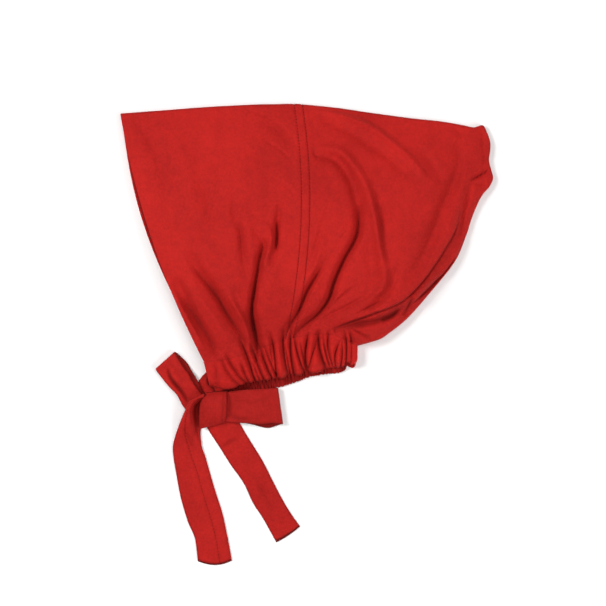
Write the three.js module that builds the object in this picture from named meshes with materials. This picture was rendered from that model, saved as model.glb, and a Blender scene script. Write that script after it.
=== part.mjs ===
import * as THREE from 'three';

// Hijab underscarf cap of red jersey, lying on its side. X runs from the face edge to the back tip,
// Y from the tie ends up to the crown fold, Z up from the surface that the cap rests on. Millimetres.
// The origin is under the middle of the whole object.

// Driving dimensions of the cap
const CAP_LENGTH = 310; // face edge to back tip
const CAP_DEPTH = 222; // foot of the face edge to the top of the crown fold
const CAP_WALL = 1.5; // jersey with its hem turned in
const CAP_BILLOW = 16; // how far the upper layer stands up between the casing and the crown fold
const CROWN_FOLD_RADIUS = 3;
const FAR_RIM_PEEK = 2.5; // how far the lower layer shows past the face edge
const FOLD_DEPTH = 6.5;
const FOLD_WIDTH = 7;

// Driving dimensions of the crown seam
const SEAM_WIDTH = 6.6;
const SEAM_RISE = 0.5; // how far the doubled cloth stands out of the panels
const SEAM_WALL = 2.4;

// Driving dimensions of the gathered casing
const CASING_FRONT_HEIGHT = 19; // over the resting surface, outside to outside
const CASING_BACK_HEIGHT = 13;
const CASING_WALL = 2;
const CASING_PLEATS = 23; // in each of the two strips
const PLEAT_DEPTH = 2.2;
const GATHER_LENGTH = 26; // how far the pleats run up into the panels
const GATHER_DEPTH = 1.5;
const FAR_HEM_PEEK = 3.6; // how far the lower strip's hem shows past the upper one's

// Driving dimensions of the ties and their bow
const TIE_WIDTH = 28;
const TIE_THICKNESS = 2.2; // a flattened tube of cloth
const ROOT_TUCK = 10; // how far a tie's root reaches up under the casing
const LEFT_TAIL_LENGTH = 134;
const RIGHT_TAIL_LENGTH = 104;
const LEFT_LOOP_LENGTH = 44;
const RIGHT_LOOP_LENGTH = 43;
const LOOP_FOLD_RADIUS = 3.4;
const LOOP_BILLOW = 2.5; // how far a loop's upper layer stands above its flat fold
const KNOT_WIDTH = 24;
const KNOT_LENGTH = 33;
const KNOT_HEIGHT = 14;
const KNOT_BELOW_HEM = 2.6; // from the casing's hem to the knot's upper edge
const KNOT_PAST_FRONT = 1.7; // from the casing's front corner to the knot's middle, along X

const GAP = 0.3; // between neighbouring pieces
const CASING_GAP = 0.5; // between the casing and the foot of the panels

// Rays that the cloth follows, fanned from the face edge round to the casing's back end.
// hem and foot: the casing's lower and upper edge; end: where the cloth turns over at the crown or
// the back. All are shares of CAP_LENGTH and CAP_DEPTH. bow: sideways curve, a share of CAP_LENGTH.
// billow: share of CAP_BILLOW. round: how far the fold widens to the casing's round back end.
const RAYS = [
  { hem: [0.243, -0.054], foot: [0.227, 0.037], end: [0.000, 0.965], bow: -0.027, billow: 0.35, round: 0 },
  { hem: [0.289, -0.065], foot: [0.275, 0.041], end: [0.107, 0.976], bow: -0.014, billow: 0.70, round: 0 },
  { hem: [0.337, -0.047], foot: [0.324, 0.060], end: [0.227, 0.989], bow: 0.000, billow: 0.90, round: 0 },
  { hem: [0.382, -0.037], foot: [0.369, 0.082], end: [0.348, 0.998], bow: 0.013, billow: 1.00, round: 0 },
  { hem: [0.428, -0.026], foot: [0.412, 0.103], end: [0.414, 1.000], bow: 0.024, billow: 1.00, round: 0 },
  { hem: [0.471, -0.017], foot: [0.455, 0.122], end: [0.476, 1.000], bow: 0.030, billow: 1.00, round: 0 },
  { hem: [0.492, -0.011], foot: [0.479, 0.129], end: [0.575, 0.987], bow: 0.027, billow: 1.00, round: 0 },
  { hem: [0.511, -0.007], foot: [0.499, 0.134], end: [0.674, 0.967], bow: 0.022, billow: 1.00, round: 0 },
  { hem: [0.527, -0.004], foot: [0.516, 0.136], end: [0.775, 0.948], bow: 0.016, billow: 1.00, round: 0 },
  { hem: [0.543, 0.000], foot: [0.531, 0.138], end: [0.861, 0.935], bow: 0.010, billow: 1.00, round: 0 },
  { hem: [0.556, 0.003], foot: [0.544, 0.138], end: [0.920, 0.921], bow: 0.005, billow: 1.00, round: 0 },
  { hem: [0.567, 0.005], foot: [0.556, 0.137], end: [0.973, 0.920], bow: 0.000, billow: 1.00, round: 0 },
  { hem: [0.578, 0.008], foot: [0.567, 0.135], end: [0.993, 0.841], bow: 0.000, billow: 1.00, round: 0 },
  { hem: [0.586, 0.010], foot: [0.576, 0.133], end: [1.000, 0.733], bow: 0.000, billow: 0.95, round: 0 },
  { hem: [0.592, 0.013], foot: [0.584, 0.129], end: [0.963, 0.632], bow: 0.000, billow: 0.90, round: 0 },
  { hem: [0.597, 0.016], foot: [0.591, 0.125], end: [0.928, 0.508], bow: 0.000, billow: 0.85, round: 0 },
  { hem: [0.601, 0.019], foot: [0.597, 0.121], end: [0.898, 0.411], bow: 0.000, billow: 0.75, round: 0.05 },
  { hem: [0.604, 0.022], foot: [0.601, 0.118], end: [0.837, 0.303], bow: 0.000, billow: 0.60, round: 0.20 },
  { hem: [0.606, 0.024], foot: [0.605, 0.116], end: [0.770, 0.206], bow: 0.000, billow: 0.40, round: 0.45 },
  { hem: [0.607, 0.025], foot: [0.607, 0.115], end: [0.709, 0.153], bow: 0.000, billow: 0.20, round: 0.75 },
  { hem: [0.608, 0.026], foot: [0.609, 0.114], end: [0.636, 0.094], bow: 0.000, billow: 0.00, round: 1 },
];
const SEAM_RAY = 5; // the row of RAYS that the crown seam follows
const FACE_HEM_SHARE = 0.125; // of the rays, over which the lower layer's peek dies out

// How the upper layer rises and falls along a ray. settle: from the casing's height down to the fold's.
const RAY_PROFILE = [
  { along: 0.00, settle: 0.00, billow: 0.00 },
  { along: 0.12, settle: 0.12, billow: 0.42 },
  { along: 0.28, settle: 0.36, billow: 0.86 },
  { along: 0.48, settle: 0.66, billow: 1.00 },
  { along: 0.70, settle: 0.88, billow: 0.80 },
  { along: 0.88, settle: 0.98, billow: 0.36 },
  { along: 1.00, settle: 1.00, billow: 0.00 },
];

// Ridges and valleys of the upper layer. from, via, to: points that the fold passes, as shares of
// CAP_LENGTH and CAP_DEPTH. rise: share of FOLD_DEPTH, below zero for a valley. wide: share of FOLD_WIDTH.
const FRONT_FOLDS = [
  { from: [0.134, 0.329], via: [0.176, 0.209], to: [0.254, 0.086], rise: -0.90, wide: 1.3 },
  { from: [0.155, 0.385], via: [0.230, 0.258], to: [0.321, 0.071], rise: 0.60, wide: 0.8 },
  { from: [0.190, 0.422], via: [0.273, 0.258], to: [0.340, 0.071], rise: -0.55, wide: 0.6 },
  { from: [0.278, 0.265], via: [0.321, 0.161], to: [0.348, 0.097], rise: 0.45, wide: 0.6 },
  { from: [0.318, 0.677], via: [0.316, 0.508], to: [0.348, 0.265], rise: -0.50, wide: 0.8 },
  { from: [0.396, 0.471], via: [0.364, 0.303], to: [0.361, 0.079], rise: -1.00, wide: 0.8 },
  { from: [0.337, 0.523], via: [0.393, 0.535], to: [0.406, 0.452], rise: 0.40, wide: 0.5 },
  { from: [0.436, 0.602], via: [0.417, 0.490], to: [0.396, 0.396], rise: -0.40, wide: 0.6 },
  { from: [0.428, 0.407], via: [0.417, 0.265], to: [0.406, 0.135], rise: 0.45, wide: 0.7 },
  { from: [0.080, 0.905], via: [0.099, 0.864], to: [0.118, 0.819], rise: -0.20, wide: 0.7 },
  { from: [0.134, 0.770], via: [0.139, 0.677], to: [0.150, 0.583], rise: -0.25, wide: 1.5 },
];
const BACK_FOLDS = [
  { from: [0.548, 0.976], via: [0.687, 0.916], to: [0.813, 0.718], rise: 0.50, wide: 1.2 },
  { from: [0.762, 0.864], via: [0.834, 0.759], to: [0.829, 0.639], rise: -0.50, wide: 1.3 },
  { from: [0.519, 0.811], via: [0.663, 0.796], to: [0.684, 0.546], rise: 0.75, wide: 0.8 },
  { from: [0.684, 0.557], via: [0.722, 0.359], to: [0.634, 0.224], rise: 0.80, wide: 0.8 },
  { from: [0.556, 0.781], via: [0.615, 0.703], to: [0.642, 0.520], rise: -0.55, wide: 0.9 },
  { from: [0.706, 0.583], via: [0.727, 0.471], to: [0.706, 0.348], rise: -0.50, wide: 0.8 },
  { from: [0.644, 0.550], via: [0.620, 0.378], to: [0.529, 0.206], rise: -1.00, wide: 0.7 },
  { from: [0.535, 0.209], via: [0.497, 0.176], to: [0.463, 0.138], rise: -0.50, wide: 0.5 },
  { from: [0.618, 0.505], via: [0.578, 0.359], to: [0.479, 0.183], rise: 0.60, wide: 0.7 },
  { from: [0.553, 0.422], via: [0.513, 0.295], to: [0.452, 0.150], rise: -0.65, wide: 0.6 },
  { from: [0.596, 0.628], via: [0.556, 0.535], to: [0.519, 0.422], rise: 0.40, wide: 0.7 },
  { from: [0.674, 0.314], via: [0.620, 0.265], to: [0.551, 0.198], rise: -0.50, wide: 0.5 },
  { from: [0.717, 0.254], via: [0.620, 0.228], to: [0.513, 0.153], rise: 0.50, wide: 0.5 },
  { from: [0.717, 0.213], via: [0.642, 0.191], to: [0.575, 0.153], rise: -0.55, wide: 0.5 },
  { from: [0.912, 0.785], via: [0.856, 0.602], to: [0.802, 0.385], rise: -0.80, wide: 1.9 },
  { from: [0.936, 0.677], via: [0.896, 0.527], to: [0.850, 0.407], rise: 0.50, wide: 1.0 },
  { from: [0.920, 0.621], via: [0.864, 0.407], to: [0.709, 0.221], rise: -0.55, wide: 0.6 },
  { from: [0.925, 0.546], via: [0.861, 0.355], to: [0.770, 0.213], rise: -0.35, wide: 0.5 },
  { from: [0.989, 0.759], via: [0.968, 0.736], to: [0.947, 0.721], rise: -0.30, wide: 0.6 },
];

// Sections of the knot from its upper to its lower edge. left and right: shares of KNOT_WIDTH and
// KNOT_LENGTH from the knot's middle. high: share of KNOT_HEIGHT.
const KNOT_SECTIONS = [
  { left: [-0.31, 0.45], right: [0.50, 0.49], high: 0.70 },
  { left: [-0.42, 0.25], right: [0.50, 0.30], high: 0.92 },
  { left: [-0.49, -0.03], right: [0.49, 0.08], high: 1.00 },
  { left: [-0.54, -0.30], right: [0.47, -0.13], high: 0.90 },
  { left: [-0.58, -0.51], right: [0.45, -0.28], high: 0.62 },
];

// Centre lines of the two tails, as shares of each tail's length from the knot's middle: aside along X,
// down along -Y. wide: share of TIE_WIDTH. rise: share of KNOT_HEIGHT at the tail's lower face.
const LEFT_TAIL = [
  { aside: -0.096, down: -0.063, wide: 0.22, rise: 0.70 },
  { aside: -0.152, down: 0.025, wide: 0.28, rise: 0.63 },
  { aside: -0.171, down: 0.118, wide: 0.54, rise: 0.32 },
  { aside: -0.168, down: 0.186, wide: 0.70, rise: 0.10 },
  { aside: -0.161, down: 0.255, wide: 0.86, rise: 0.02 },
  { aside: -0.143, down: 0.335, wide: 0.92, rise: 0 },
  { aside: -0.115, down: 0.441, wide: 0.96, rise: 0 },
  { aside: -0.084, down: 0.553, wide: 1.00, rise: 0 },
  { aside: -0.047, down: 0.677, wide: 1.00, rise: 0 },
  { aside: -0.012, down: 0.801, wide: 0.95, rise: 0 },
  { aside: 0.017, down: 0.929, wide: 0.97, rise: 0 },
];
const RIGHT_TAIL = [
  { aside: 0.008, down: 0.024, wide: 0.80, rise: 0 },
  { aside: 0.100, down: 0.152, wide: 0.89, rise: 0 },
  { aside: 0.184, down: 0.279, wide: 0.83, rise: 0 },
  { aside: 0.275, down: 0.427, wide: 0.87, rise: 0 },
  { aside: 0.363, down: 0.575, wide: 0.83, rise: 0 },
  { aside: 0.439, down: 0.730, wide: 0.83, rise: 0 },
  { aside: 0.515, down: 0.842, wide: 0.80, rise: 0 },
  { aside: 0.595, down: 0.974, wide: 0.82, rise: 0 },
];

// The two loops of the bow. root: middle of the loop's open end, as shares of KNOT_WIDTH and KNOT_LENGTH
// from the knot's middle. heading: degrees from +X. rootWide and foldWide: shares of TIE_WIDTH.
// splay: how far the lower layer lies to the right of the upper one, a share of TIE_WIDTH.
const LEFT_LOOP = { root: [-0.78, 0.21], heading: 123, rootWide: 0.70, foldWide: 0.74, splay: 0.16 };
const RIGHT_LOOP = { root: [0.53, 0.09], heading: 1.5, rootWide: 1.00, foldWide: 1.03, splay: 0.05 };

const JERSEY_RED = 0xb82723;
const SEAM_RED = 0xa9211d;
const TIE_RED = 0xb2241f;

function smoothStep(share) {
  return THREE.MathUtils.smoothstep(share, 0, 1);
}

function fromShares([x, y]) {
  return new THREE.Vector2(CAP_LENGTH * x, CAP_DEPTH * y);
}

// A smooth line through one column of RAYS, read at any place between the rows.
function rayColumn(read) {
  const line = new THREE.SplineCurve(RAYS.map(read));
  return (share) => line.getPoint(share);
}

function rayNumber(read) {
  const column = rayColumn((row, index) => new THREE.Vector2(index, read(row)));
  return (share) => column(share).y;
}

const hemLine = rayColumn((row) => fromShares(row.hem));
const footLine = rayColumn((row) => fromShares(row.foot));
const endLine = rayColumn((row) => fromShares(row.end));
const rayBow = rayNumber((row) => row.bow * CAP_LENGTH);
const rayBillow = rayNumber((row) => row.billow);
const rayRound = rayNumber((row) => THREE.MathUtils.clamp(row.round, 0, 1));
const profileLines = {
  settle: new THREE.SplineCurve(RAY_PROFILE.map((row) => new THREE.Vector2(row.along, row.settle))),
  billow: new THREE.SplineCurve(RAY_PROFILE.map((row) => new THREE.Vector2(row.along, row.billow))),
};

// The place from 0 to 1 where a rising value reaches its goal, by halving.
function placeOf(goal, valueAt) {
  let low = 0;
  let high = 1;
  for (let step = 0; step < 24; step += 1) {
    const middle = (low + high) / 2;
    if (valueAt(middle) < goal) low = middle;
    else high = middle;
  }
  return (low + high) / 2;
}

function profileAt(along, column) {
  const line = profileLines[column];
  return line.getPoint(placeOf(along, (place) => line.getPoint(place).x)).y;
}

// Share of the casing's length from the face edge to where a ray leaves it.
function alongCasing(share) {
  return (footLine(share).x - footLine(0).x) / (footLine(1).x - footLine(0).x);
}

// Height of the casing's outer face over the resting surface, below one ray.
function casingHeight(share) {
  return THREE.MathUtils.lerp(CASING_FRONT_HEIGHT, CASING_BACK_HEIGHT, alongCasing(share));
}

function foldRadius(share) {
  return THREE.MathUtils.lerp(CROWN_FOLD_RADIUS, CASING_BACK_HEIGHT / 2, rayRound(share));
}

// The smooth form of the cloth on one ray. part runs 0 to 1 along the upper layer, 1 to 2 round the
// fold and 2 to 3 back along the lower layer.
function rayPoint(share, part) {
  const foot = footLine(share);
  const toEnd = endLine(share).sub(foot);
  const length = toEnd.length();
  const sideways = new THREE.Vector2(toEnd.y, -toEnd.x).divideScalar(length);
  const radius = foldRadius(share);
  const straight = length - radius;
  let along = straight;
  let height = 0;
  if (part <= 1) {
    along = straight * part;
    const settled = THREE.MathUtils.lerp(casingHeight(share), 2 * radius, profileAt(part, 'settle'));
    height = settled + CAP_BILLOW * rayBillow(share) * profileAt(part, 'billow');
  } else if (part < 2) {
    const turn = Math.PI * (part - 1);
    along = straight + radius * Math.sin(turn);
    height = radius + radius * Math.cos(turn);
  } else {
    along = straight * (3 - part);
  }
  const step = along / length;
  const bow = rayBow(share) * 4 * step * (1 - step);
  const plan = foot.add(toEnd.multiplyScalar(step)).addScaledVector(sideways, bow);
  const besideFace = 1 - smoothStep(share / FACE_HEM_SHARE);
  const lowerLayer = THREE.MathUtils.smoothstep(part, 1.6, 2.3);
  plan.x -= FAR_RIM_PEEK * besideFace * lowerLayer * Math.sin(Math.PI * step);
  return new THREE.Vector3(plan.x, plan.y, height);
}

// Outward direction of the smooth form. Beside the casing's round end it stays level with the casing.
function rayNormal(share, part) {
  const reach = 0.002;
  const left = rayPoint(Math.max(share - reach, 0), part);
  const right = rayPoint(Math.min(share + reach, 1), part);
  const before = rayPoint(share, Math.max(part - 4 * reach, 0));
  const after = rayPoint(share, Math.min(part + 4 * reach, 3));
  const toEnd = endLine(share).sub(footLine(share)).normalize();
  const besideCasing = THREE.MathUtils.smoothstep(share, 0.95, 1);
  const across = right.sub(left).normalize().lerp(new THREE.Vector3(toEnd.y, -toEnd.x, 0), besideCasing);
  const normal = across.cross(after.sub(before)).normalize();
  const fall = hemLine(share).sub(footLine(share)).normalize();
  const down = new THREE.Vector3(fall.x, fall.y, 0);
  return normal.addScaledVector(down, -besideCasing * normal.dot(down)).normalize();
}

function foldLine(fold) {
  const from = fromShares(fold.from);
  const via = fromShares(fold.via);
  const to = fromShares(fold.to);
  const pull = via.clone().multiplyScalar(2).sub(from.clone().add(to).multiplyScalar(0.5));
  const points = new THREE.QuadraticBezierCurve(from, pull, to).getPoints(12);
  return { points, rise: fold.rise * FOLD_DEPTH, width: fold.wide * FOLD_WIDTH };
}

// Height that a set of folds adds at one place of the plan. A fold dies out towards its two ends.
function foldRelief(lines, x, y) {
  let relief = 0;
  for (const line of lines) {
    let nearest = Infinity;
    let place = 0;
    for (let index = 0; index + 1 < line.points.length; index += 1) {
      const start = line.points[index];
      const run = line.points[index + 1].clone().sub(start);
      const fromStart = new THREE.Vector2(x, y).sub(start);
      const along = THREE.MathUtils.clamp(fromStart.dot(run) / run.lengthSq(), 0, 1);
      const distance = fromStart.addScaledVector(run, -along).length();
      if (distance < nearest) {
        nearest = distance;
        place = (index + along) / (line.points.length - 1);
      }
    }
    const fading = Math.sqrt(Math.sin(Math.PI * THREE.MathUtils.clamp(place, 0.06, 0.94)));
    relief += line.rise * fading * Math.exp(-((nearest / line.width) ** 2));
  }
  return relief;
}

// Rounded ridges with narrow valleys between them, uneven in width. Zero on a ridge, -1 in a valley.
function pleatWave(turns) {
  const uneven = turns + 0.22 * Math.sin(turns * 1.7) + 0.12 * Math.sin(turns * 3.1 + 1);
  return Math.abs(Math.sin(Math.PI * uneven)) ** 0.8 - 1;
}

// Closes a sheet of cloth: an outer and an inner grid of points and the four edges between them.
function clothSolid(columns, rows, pointAt) {
  const positions = [];
  for (const layer of ['outer', 'inner']) {
    for (let column = 0; column <= columns; column += 1) {
      for (let row = 0; row <= rows; row += 1) {
        positions.push(...pointAt(column, row)[layer].toArray());
      }
    }
  }
  const perLayer = (columns + 1) * (rows + 1);
  const outer = (column, row) => column * (rows + 1) + row;
  const inner = (column, row) => perLayer + outer(column, row);
  const faces = [];
  const quad = (a, b, c, d) => faces.push(a, b, c, a, c, d);
  for (let column = 0; column < columns; column += 1) {
    for (let row = 0; row < rows; row += 1) {
      quad(outer(column, row), outer(column + 1, row), outer(column + 1, row + 1), outer(column, row + 1));
      quad(inner(column, row), inner(column, row + 1), inner(column + 1, row + 1), inner(column + 1, row));
    }
    quad(outer(column, 0), inner(column, 0), inner(column + 1, 0), outer(column + 1, 0));
    quad(outer(column, rows), outer(column + 1, rows), inner(column + 1, rows), inner(column, rows));
  }
  for (let row = 0; row < rows; row += 1) {
    quad(outer(0, row), outer(0, row + 1), inner(0, row + 1), inner(0, row));
    quad(outer(columns, row), inner(columns, row), inner(columns, row + 1), outer(columns, row + 1));
  }
  return facingOut(positions, faces);
}

// Turns the faces of a closed body outward.
function facingOut(positions, faces) {
  const corner = (index) => new THREE.Vector3().fromArray(positions, 3 * index);
  let volume = 0;
  for (let face = 0; face < faces.length; face += 3) {
    volume += corner(faces[face]).dot(corner(faces[face + 1]).cross(corner(faces[face + 2])));
  }
  if (volume < 0) faces.reverse();
  const geometry = new THREE.BufferGeometry();
  geometry.setAttribute('position', new THREE.Float32BufferAttribute(positions, 3));
  geometry.setIndex(faces);
  geometry.computeVertexNormals();
  return geometry;
}

// Stations along a ray: close together over the gathers, and round the fold.
const UPPER_STATIONS = 13;
const FOLD_STATIONS = 3;
const LOWER_STATIONS = 3;
const RAY_STATIONS = [];
for (let index = 0; index < UPPER_STATIONS; index += 1) RAY_STATIONS.push((index / UPPER_STATIONS) ** 1.25);
for (let index = 0; index < FOLD_STATIONS; index += 1) RAY_STATIONS.push(1 + index / FOLD_STATIONS);
for (let index = 0; index <= LOWER_STATIONS; index += 1) RAY_STATIONS.push(2 + index / LOWER_STATIONS);

const seamShare = SEAM_RAY / (RAYS.length - 1);

// The ray that lies a given distance beside another, measured across the cloth at one part of it.
function shareBeside(share, part, aside) {
  const reach = 0.004;
  const spread = rayPoint(share + reach, part).distanceTo(rayPoint(share - reach, part)) / (2 * reach);
  return share + aside / spread;
}

// One point pair of a panel: the smooth form with its folds and, near the casing, its gathers.
function panelPoint(share, part, folds) {
  const base = rayPoint(share, part);
  const normal = rayNormal(share, part);
  let relief = 0;
  if (part < 1) {
    const belowCrown = smoothStep((1 - part) * 6);
    const gathers = base.distanceTo(rayPoint(share, 0)) / GATHER_LENGTH;
    relief = foldRelief(folds, base.x, base.y) * belowCrown * smoothStep(0.25 + gathers);
    relief += GATHER_DEPTH * (1 - smoothStep(gathers)) * pleatWave(CASING_PLEATS * alongCasing(share));
  }
  return {
    outer: base.clone().addScaledVector(normal, relief),
    inner: base.clone().addScaledVector(normal, relief - CAP_WALL),
  };
}

// A panel between the seam and one end of the rays: 0 is the face edge, 1 the casing's back end.
function panel(columns, end, foldTable) {
  const folds = foldTable.map(foldLine);
  const clear = (SEAM_WIDTH / 2 + GAP) * (end === 0 ? -1 : 1);
  return clothSolid(columns, RAY_STATIONS.length - 1, (column, row) => {
    const part = RAY_STATIONS[row];
    const edge = shareBeside(seamShare, part, clear);
    return panelPoint(THREE.MathUtils.lerp(edge, end, column / columns), part, folds);
  });
}

// The band of doubled cloth between the panels, raised on the outside where the cap is seen from.
function crownSeam() {
  return clothSolid(2, RAY_STATIONS.length - 1, (column, row) => {
    const part = RAY_STATIONS[row];
    const aside = (column - 1) * SEAM_WIDTH / 2;
    const pair = panelPoint(shareBeside(seamShare, part, aside), part, []);
    const outward = pair.outer.clone().sub(pair.inner).normalize();
    const rise = SEAM_RISE * (1 - THREE.MathUtils.smoothstep(part, 1, 1.6));
    const outer = pair.outer.addScaledVector(outward, rise);
    return { outer, inner: outer.clone().addScaledVector(outward, -SEAM_WALL) };
  });
}

// Two layers of pleated strip, joined round the back end and open at the face. The ring is read as
// places: along the upper strip, round the end and along the lower strip back to the face.
function elasticCasing() {
  const stops = 3 * CASING_PLEATS;
  const places = [];
  for (let stop = 0; stop <= stops; stop += 1) places.push({ along: stop / stops, part: 0 });
  for (const part of [1, 1.25, 1.5, 1.75, 2]) places.push({ along: 1, part });
  for (let stop = stops; stop >= 0; stop -= 1) places.push({ along: stop / stops, part: 3 });
  const rows = 2;
  return clothSolid(places.length - 1, rows, (column, row) => {
    const { along, part } = places[column];
    const share = placeOf(along, alongCasing);
    const onStrip = part === 0 || part === 3;
    const outward = onStrip ? new THREE.Vector3(0, 0, part === 0 ? 1 : -1) : rayNormal(share, part);
    const fall = hemLine(share).sub(footLine(share));
    const down = new THREE.Vector3(fall.x, fall.y, 0).normalize();
    const peek = part < 3 ? 0 : FAR_HEM_PEEK * Math.sqrt(Math.sin(Math.PI * along));
    const depth = THREE.MathUtils.lerp(CASING_GAP, fall.length() + peek, row / rows);
    const middleBulge = row === 1 ? 1 : 0.85;
    const wave = onStrip ? PLEAT_DEPTH * middleBulge * pleatWave(CASING_PLEATS * along) : 0;
    const base = rayPoint(share, part).addScaledVector(down, depth);
    return {
      outer: base.clone().addScaledVector(outward, wave),
      inner: base.clone().addScaledVector(outward, wave - CASING_WALL),
    };
  });
}

// Closes a row of rings of equal length into a body, with a flat end at either side.
function loftSolid(rings) {
  const size = rings[0].length;
  const positions = rings.flatMap((ring) => ring.flatMap((point) => point.toArray()));
  const faces = [];
  for (let ring = 0; ring + 1 < rings.length; ring += 1) {
    for (let index = 0; index < size; index += 1) {
      const here = ring * size + index;
      const beside = ring * size + (index + 1) % size;
      faces.push(here, beside, beside + size, here, beside + size, here + size);
    }
  }
  const last = (rings.length - 1) * size;
  for (let index = 1; index + 1 < size; index += 1) {
    faces.push(0, index + 1, index);
    faces.push(last, last + index, last + index + 1);
  }
  return facingOut(positions, faces);
}

// Ring of a flat strip with rounded edges, between two points of its lower face.
function stripRing(left, right) {
  const across = right.clone().sub(left).normalize();
  const round = TIE_THICKNESS / 2;
  const ring = [
    left.clone().setZ(left.z + round),
    left.clone().addScaledVector(across, round),
    left.clone().lerp(right, 0.5),
    right.clone().addScaledVector(across, -round),
    right.clone().setZ(right.z + round),
  ];
  const upper = [3, 2, 1].map((index) => ring[index].clone().setZ(ring[index].z + TIE_THICKNESS));
  return [...ring, ...upper];
}

const frontHem = hemLine(0);
const lowestHem = Math.min(hemLine(0.025).y, hemLine(0.05).y);
const knotTop = KNOT_SECTIONS[0].right[1] * KNOT_LENGTH;
const knotMiddle = new THREE.Vector2(frontHem.x + KNOT_PAST_FRONT, lowestHem - KNOT_BELOW_HEM - knotTop);

function fromKnot([x, y]) {
  return knotMiddle.clone().add(new THREE.Vector2(KNOT_WIDTH * x, KNOT_LENGTH * y));
}

// A wrap of cloth, flat below where it lies on the right tail, rounded above.
function bowKnot() {
  const sides = 14;
  const below = TIE_THICKNESS + GAP;
  const sections = KNOT_SECTIONS.length - 1;
  const steps = 12;
  const leftLine = new THREE.SplineCurve(KNOT_SECTIONS.map((row) => fromKnot(row.left)));
  const rightLine = new THREE.SplineCurve(KNOT_SECTIONS.map((row) => fromKnot(row.right)));
  const highLine = new THREE.SplineCurve(KNOT_SECTIONS.map((row, index) => new THREE.Vector2(index / sections, row.high)));
  const rings = [];
  for (let step = 0; step <= steps; step += 1) {
    const along = step / steps;
    const left = leftLine.getPoint(along);
    const right = rightLine.getPoint(along);
    const high = highLine.getPoint(along).y * KNOT_HEIGHT - below;
    const ring = [];
    for (let side = 0; side < sides; side += 1) {
      const angle = 2 * Math.PI * side / sides;
      const across = 0.5 - 0.5 * Math.sign(Math.cos(angle)) * Math.abs(Math.cos(angle)) ** 0.6;
      const lift = 0.5 + 0.5 * Math.sign(Math.sin(angle)) * Math.abs(Math.sin(angle)) ** 0.7;
      const plan = left.clone().lerp(right, across);
      ring.push(new THREE.Vector3(plan.x, plan.y, below + high * lift));
    }
    rings.push(ring);
  }
  return loftSolid(rings);
}

// A tail: a flat strip along a smooth centre line.
function tieTail(rows, length) {
  const steps = 3 * (rows.length - 1);
  const last = rows.length - 1;
  const line = new THREE.CatmullRomCurve3(rows.map((row) => new THREE.Vector3(
    knotMiddle.x + row.aside * length,
    knotMiddle.y - row.down * length,
    row.rise * KNOT_HEIGHT,
  )), false, 'catmullrom', 0.5);
  const widths = new THREE.SplineCurve(rows.map((row, index) => new THREE.Vector2(index / last, row.wide * TIE_WIDTH)));
  const rings = [];
  for (let step = 0; step <= steps; step += 1) {
    const along = step / steps;
    const middle = line.getPoint(along);
    middle.z = Math.max(middle.z, 0);
    const heading = line.getTangent(along);
    const across = new THREE.Vector3(-heading.y, heading.x, 0).normalize().multiplyScalar(widths.getPoint(along).y / 2);
    rings.push(stripRing(middle.clone().add(across), middle.clone().sub(across)));
  }
  return loftSolid(rings);
}

// A loop: the strip goes out from the knot, turns over and comes back underneath.
function bowLoop(loop, length) {
  const heading = THREE.MathUtils.degToRad(loop.heading);
  const forward = new THREE.Vector3(Math.cos(heading), Math.sin(heading), 0);
  const aside = new THREE.Vector3(Math.sin(heading), -Math.cos(heading), 0);
  const rootPlan = fromKnot(loop.root);
  const root = new THREE.Vector3(rootPlan.x, rootPlan.y, 0);
  const straight = length - LOOP_FOLD_RADIUS;
  const parts = [];
  for (let index = 0; index < 7; index += 1) parts.push(index / 7);
  for (let index = 0; index < 4; index += 1) parts.push(1 + index / 4);
  for (let index = 0; index <= 7; index += 1) parts.push(2 + index / 7);
  const section = (part) => {
    const out = part <= 1 ? part : part >= 2 ? 3 - part : 1;
    const lift = (TIE_THICKNESS + GAP) * (1 - THREE.MathUtils.smoothstep(out, 0.35, 0.8));
    const turn = Math.PI * THREE.MathUtils.clamp(part - 1, 0, 1);
    const puff = part < 1 ? LOOP_BILLOW * Math.sin(Math.PI * part) ** 2 : 0;
    const along = straight * out + LOOP_FOLD_RADIUS * Math.sin(turn);
    const height = lift + LOOP_FOLD_RADIUS * (1 + Math.cos(turn)) + puff;
    const splay = loop.splay * TIE_WIDTH * THREE.MathUtils.smoothstep(part, 1, 2.4) * Math.sin(Math.PI * (0.2 + 0.6 * out));
    const width = TIE_WIDTH * THREE.MathUtils.lerp(loop.rootWide, loop.foldWide, out);
    return { along, height, splay, width };
  };
  return clothSolid(4, parts.length - 1, (column, row) => {
    const place = section(parts[row]);
    const before = section(Math.max(parts[row] - 0.01, 0));
    const after = section(Math.min(parts[row] + 0.01, 3));
    const outward = new THREE.Vector3(0, 0, 0)
      .addScaledVector(forward, before.height - after.height)
      .setZ(after.along - before.along)
      .normalize();
    const across = place.width * (column / 4 - 0.5) + place.splay;
    const outer = root.clone().addScaledVector(forward, place.along).addScaledVector(aside, across);
    outer.z = place.height;
    return { outer, inner: outer.clone().addScaledVector(outward, -TIE_THICKNESS) };
  });
}

// The upper strip's tie leaves from under the casing and goes down into the knot's upper edge.
function nearTieRoot() {
  const seat = CASING_FRONT_HEIGHT - PLEAT_DEPTH - CASING_WALL - GAP - TIE_THICKNESS;
  const up = footLine(0).sub(frontHem).normalize().multiplyScalar(ROOT_TUCK);
  const knotEdge = (share) => fromKnot(KNOT_SECTIONS[0].left).lerp(fromKnot(KNOT_SECTIONS[0].right), share);
  const at = (plan, z) => new THREE.Vector3(plan.x, plan.y, z);
  const left = hemLine(0.008);
  const right = hemLine(0.045);
  const clear = new THREE.Vector2(0, TIE_THICKNESS / 2);
  return loftSolid([
    stripRing(at(left.clone().add(up), seat), at(right.clone().add(up), seat)),
    stripRing(at(left, seat), at(right, seat)),
    stripRing(
      at(knotEdge(0.25).add(clear), 0.3 * KNOT_HEIGHT),
      at(knotEdge(0.80).add(clear), 0.3 * KNOT_HEIGHT),
    ),
  ]);
}

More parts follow.
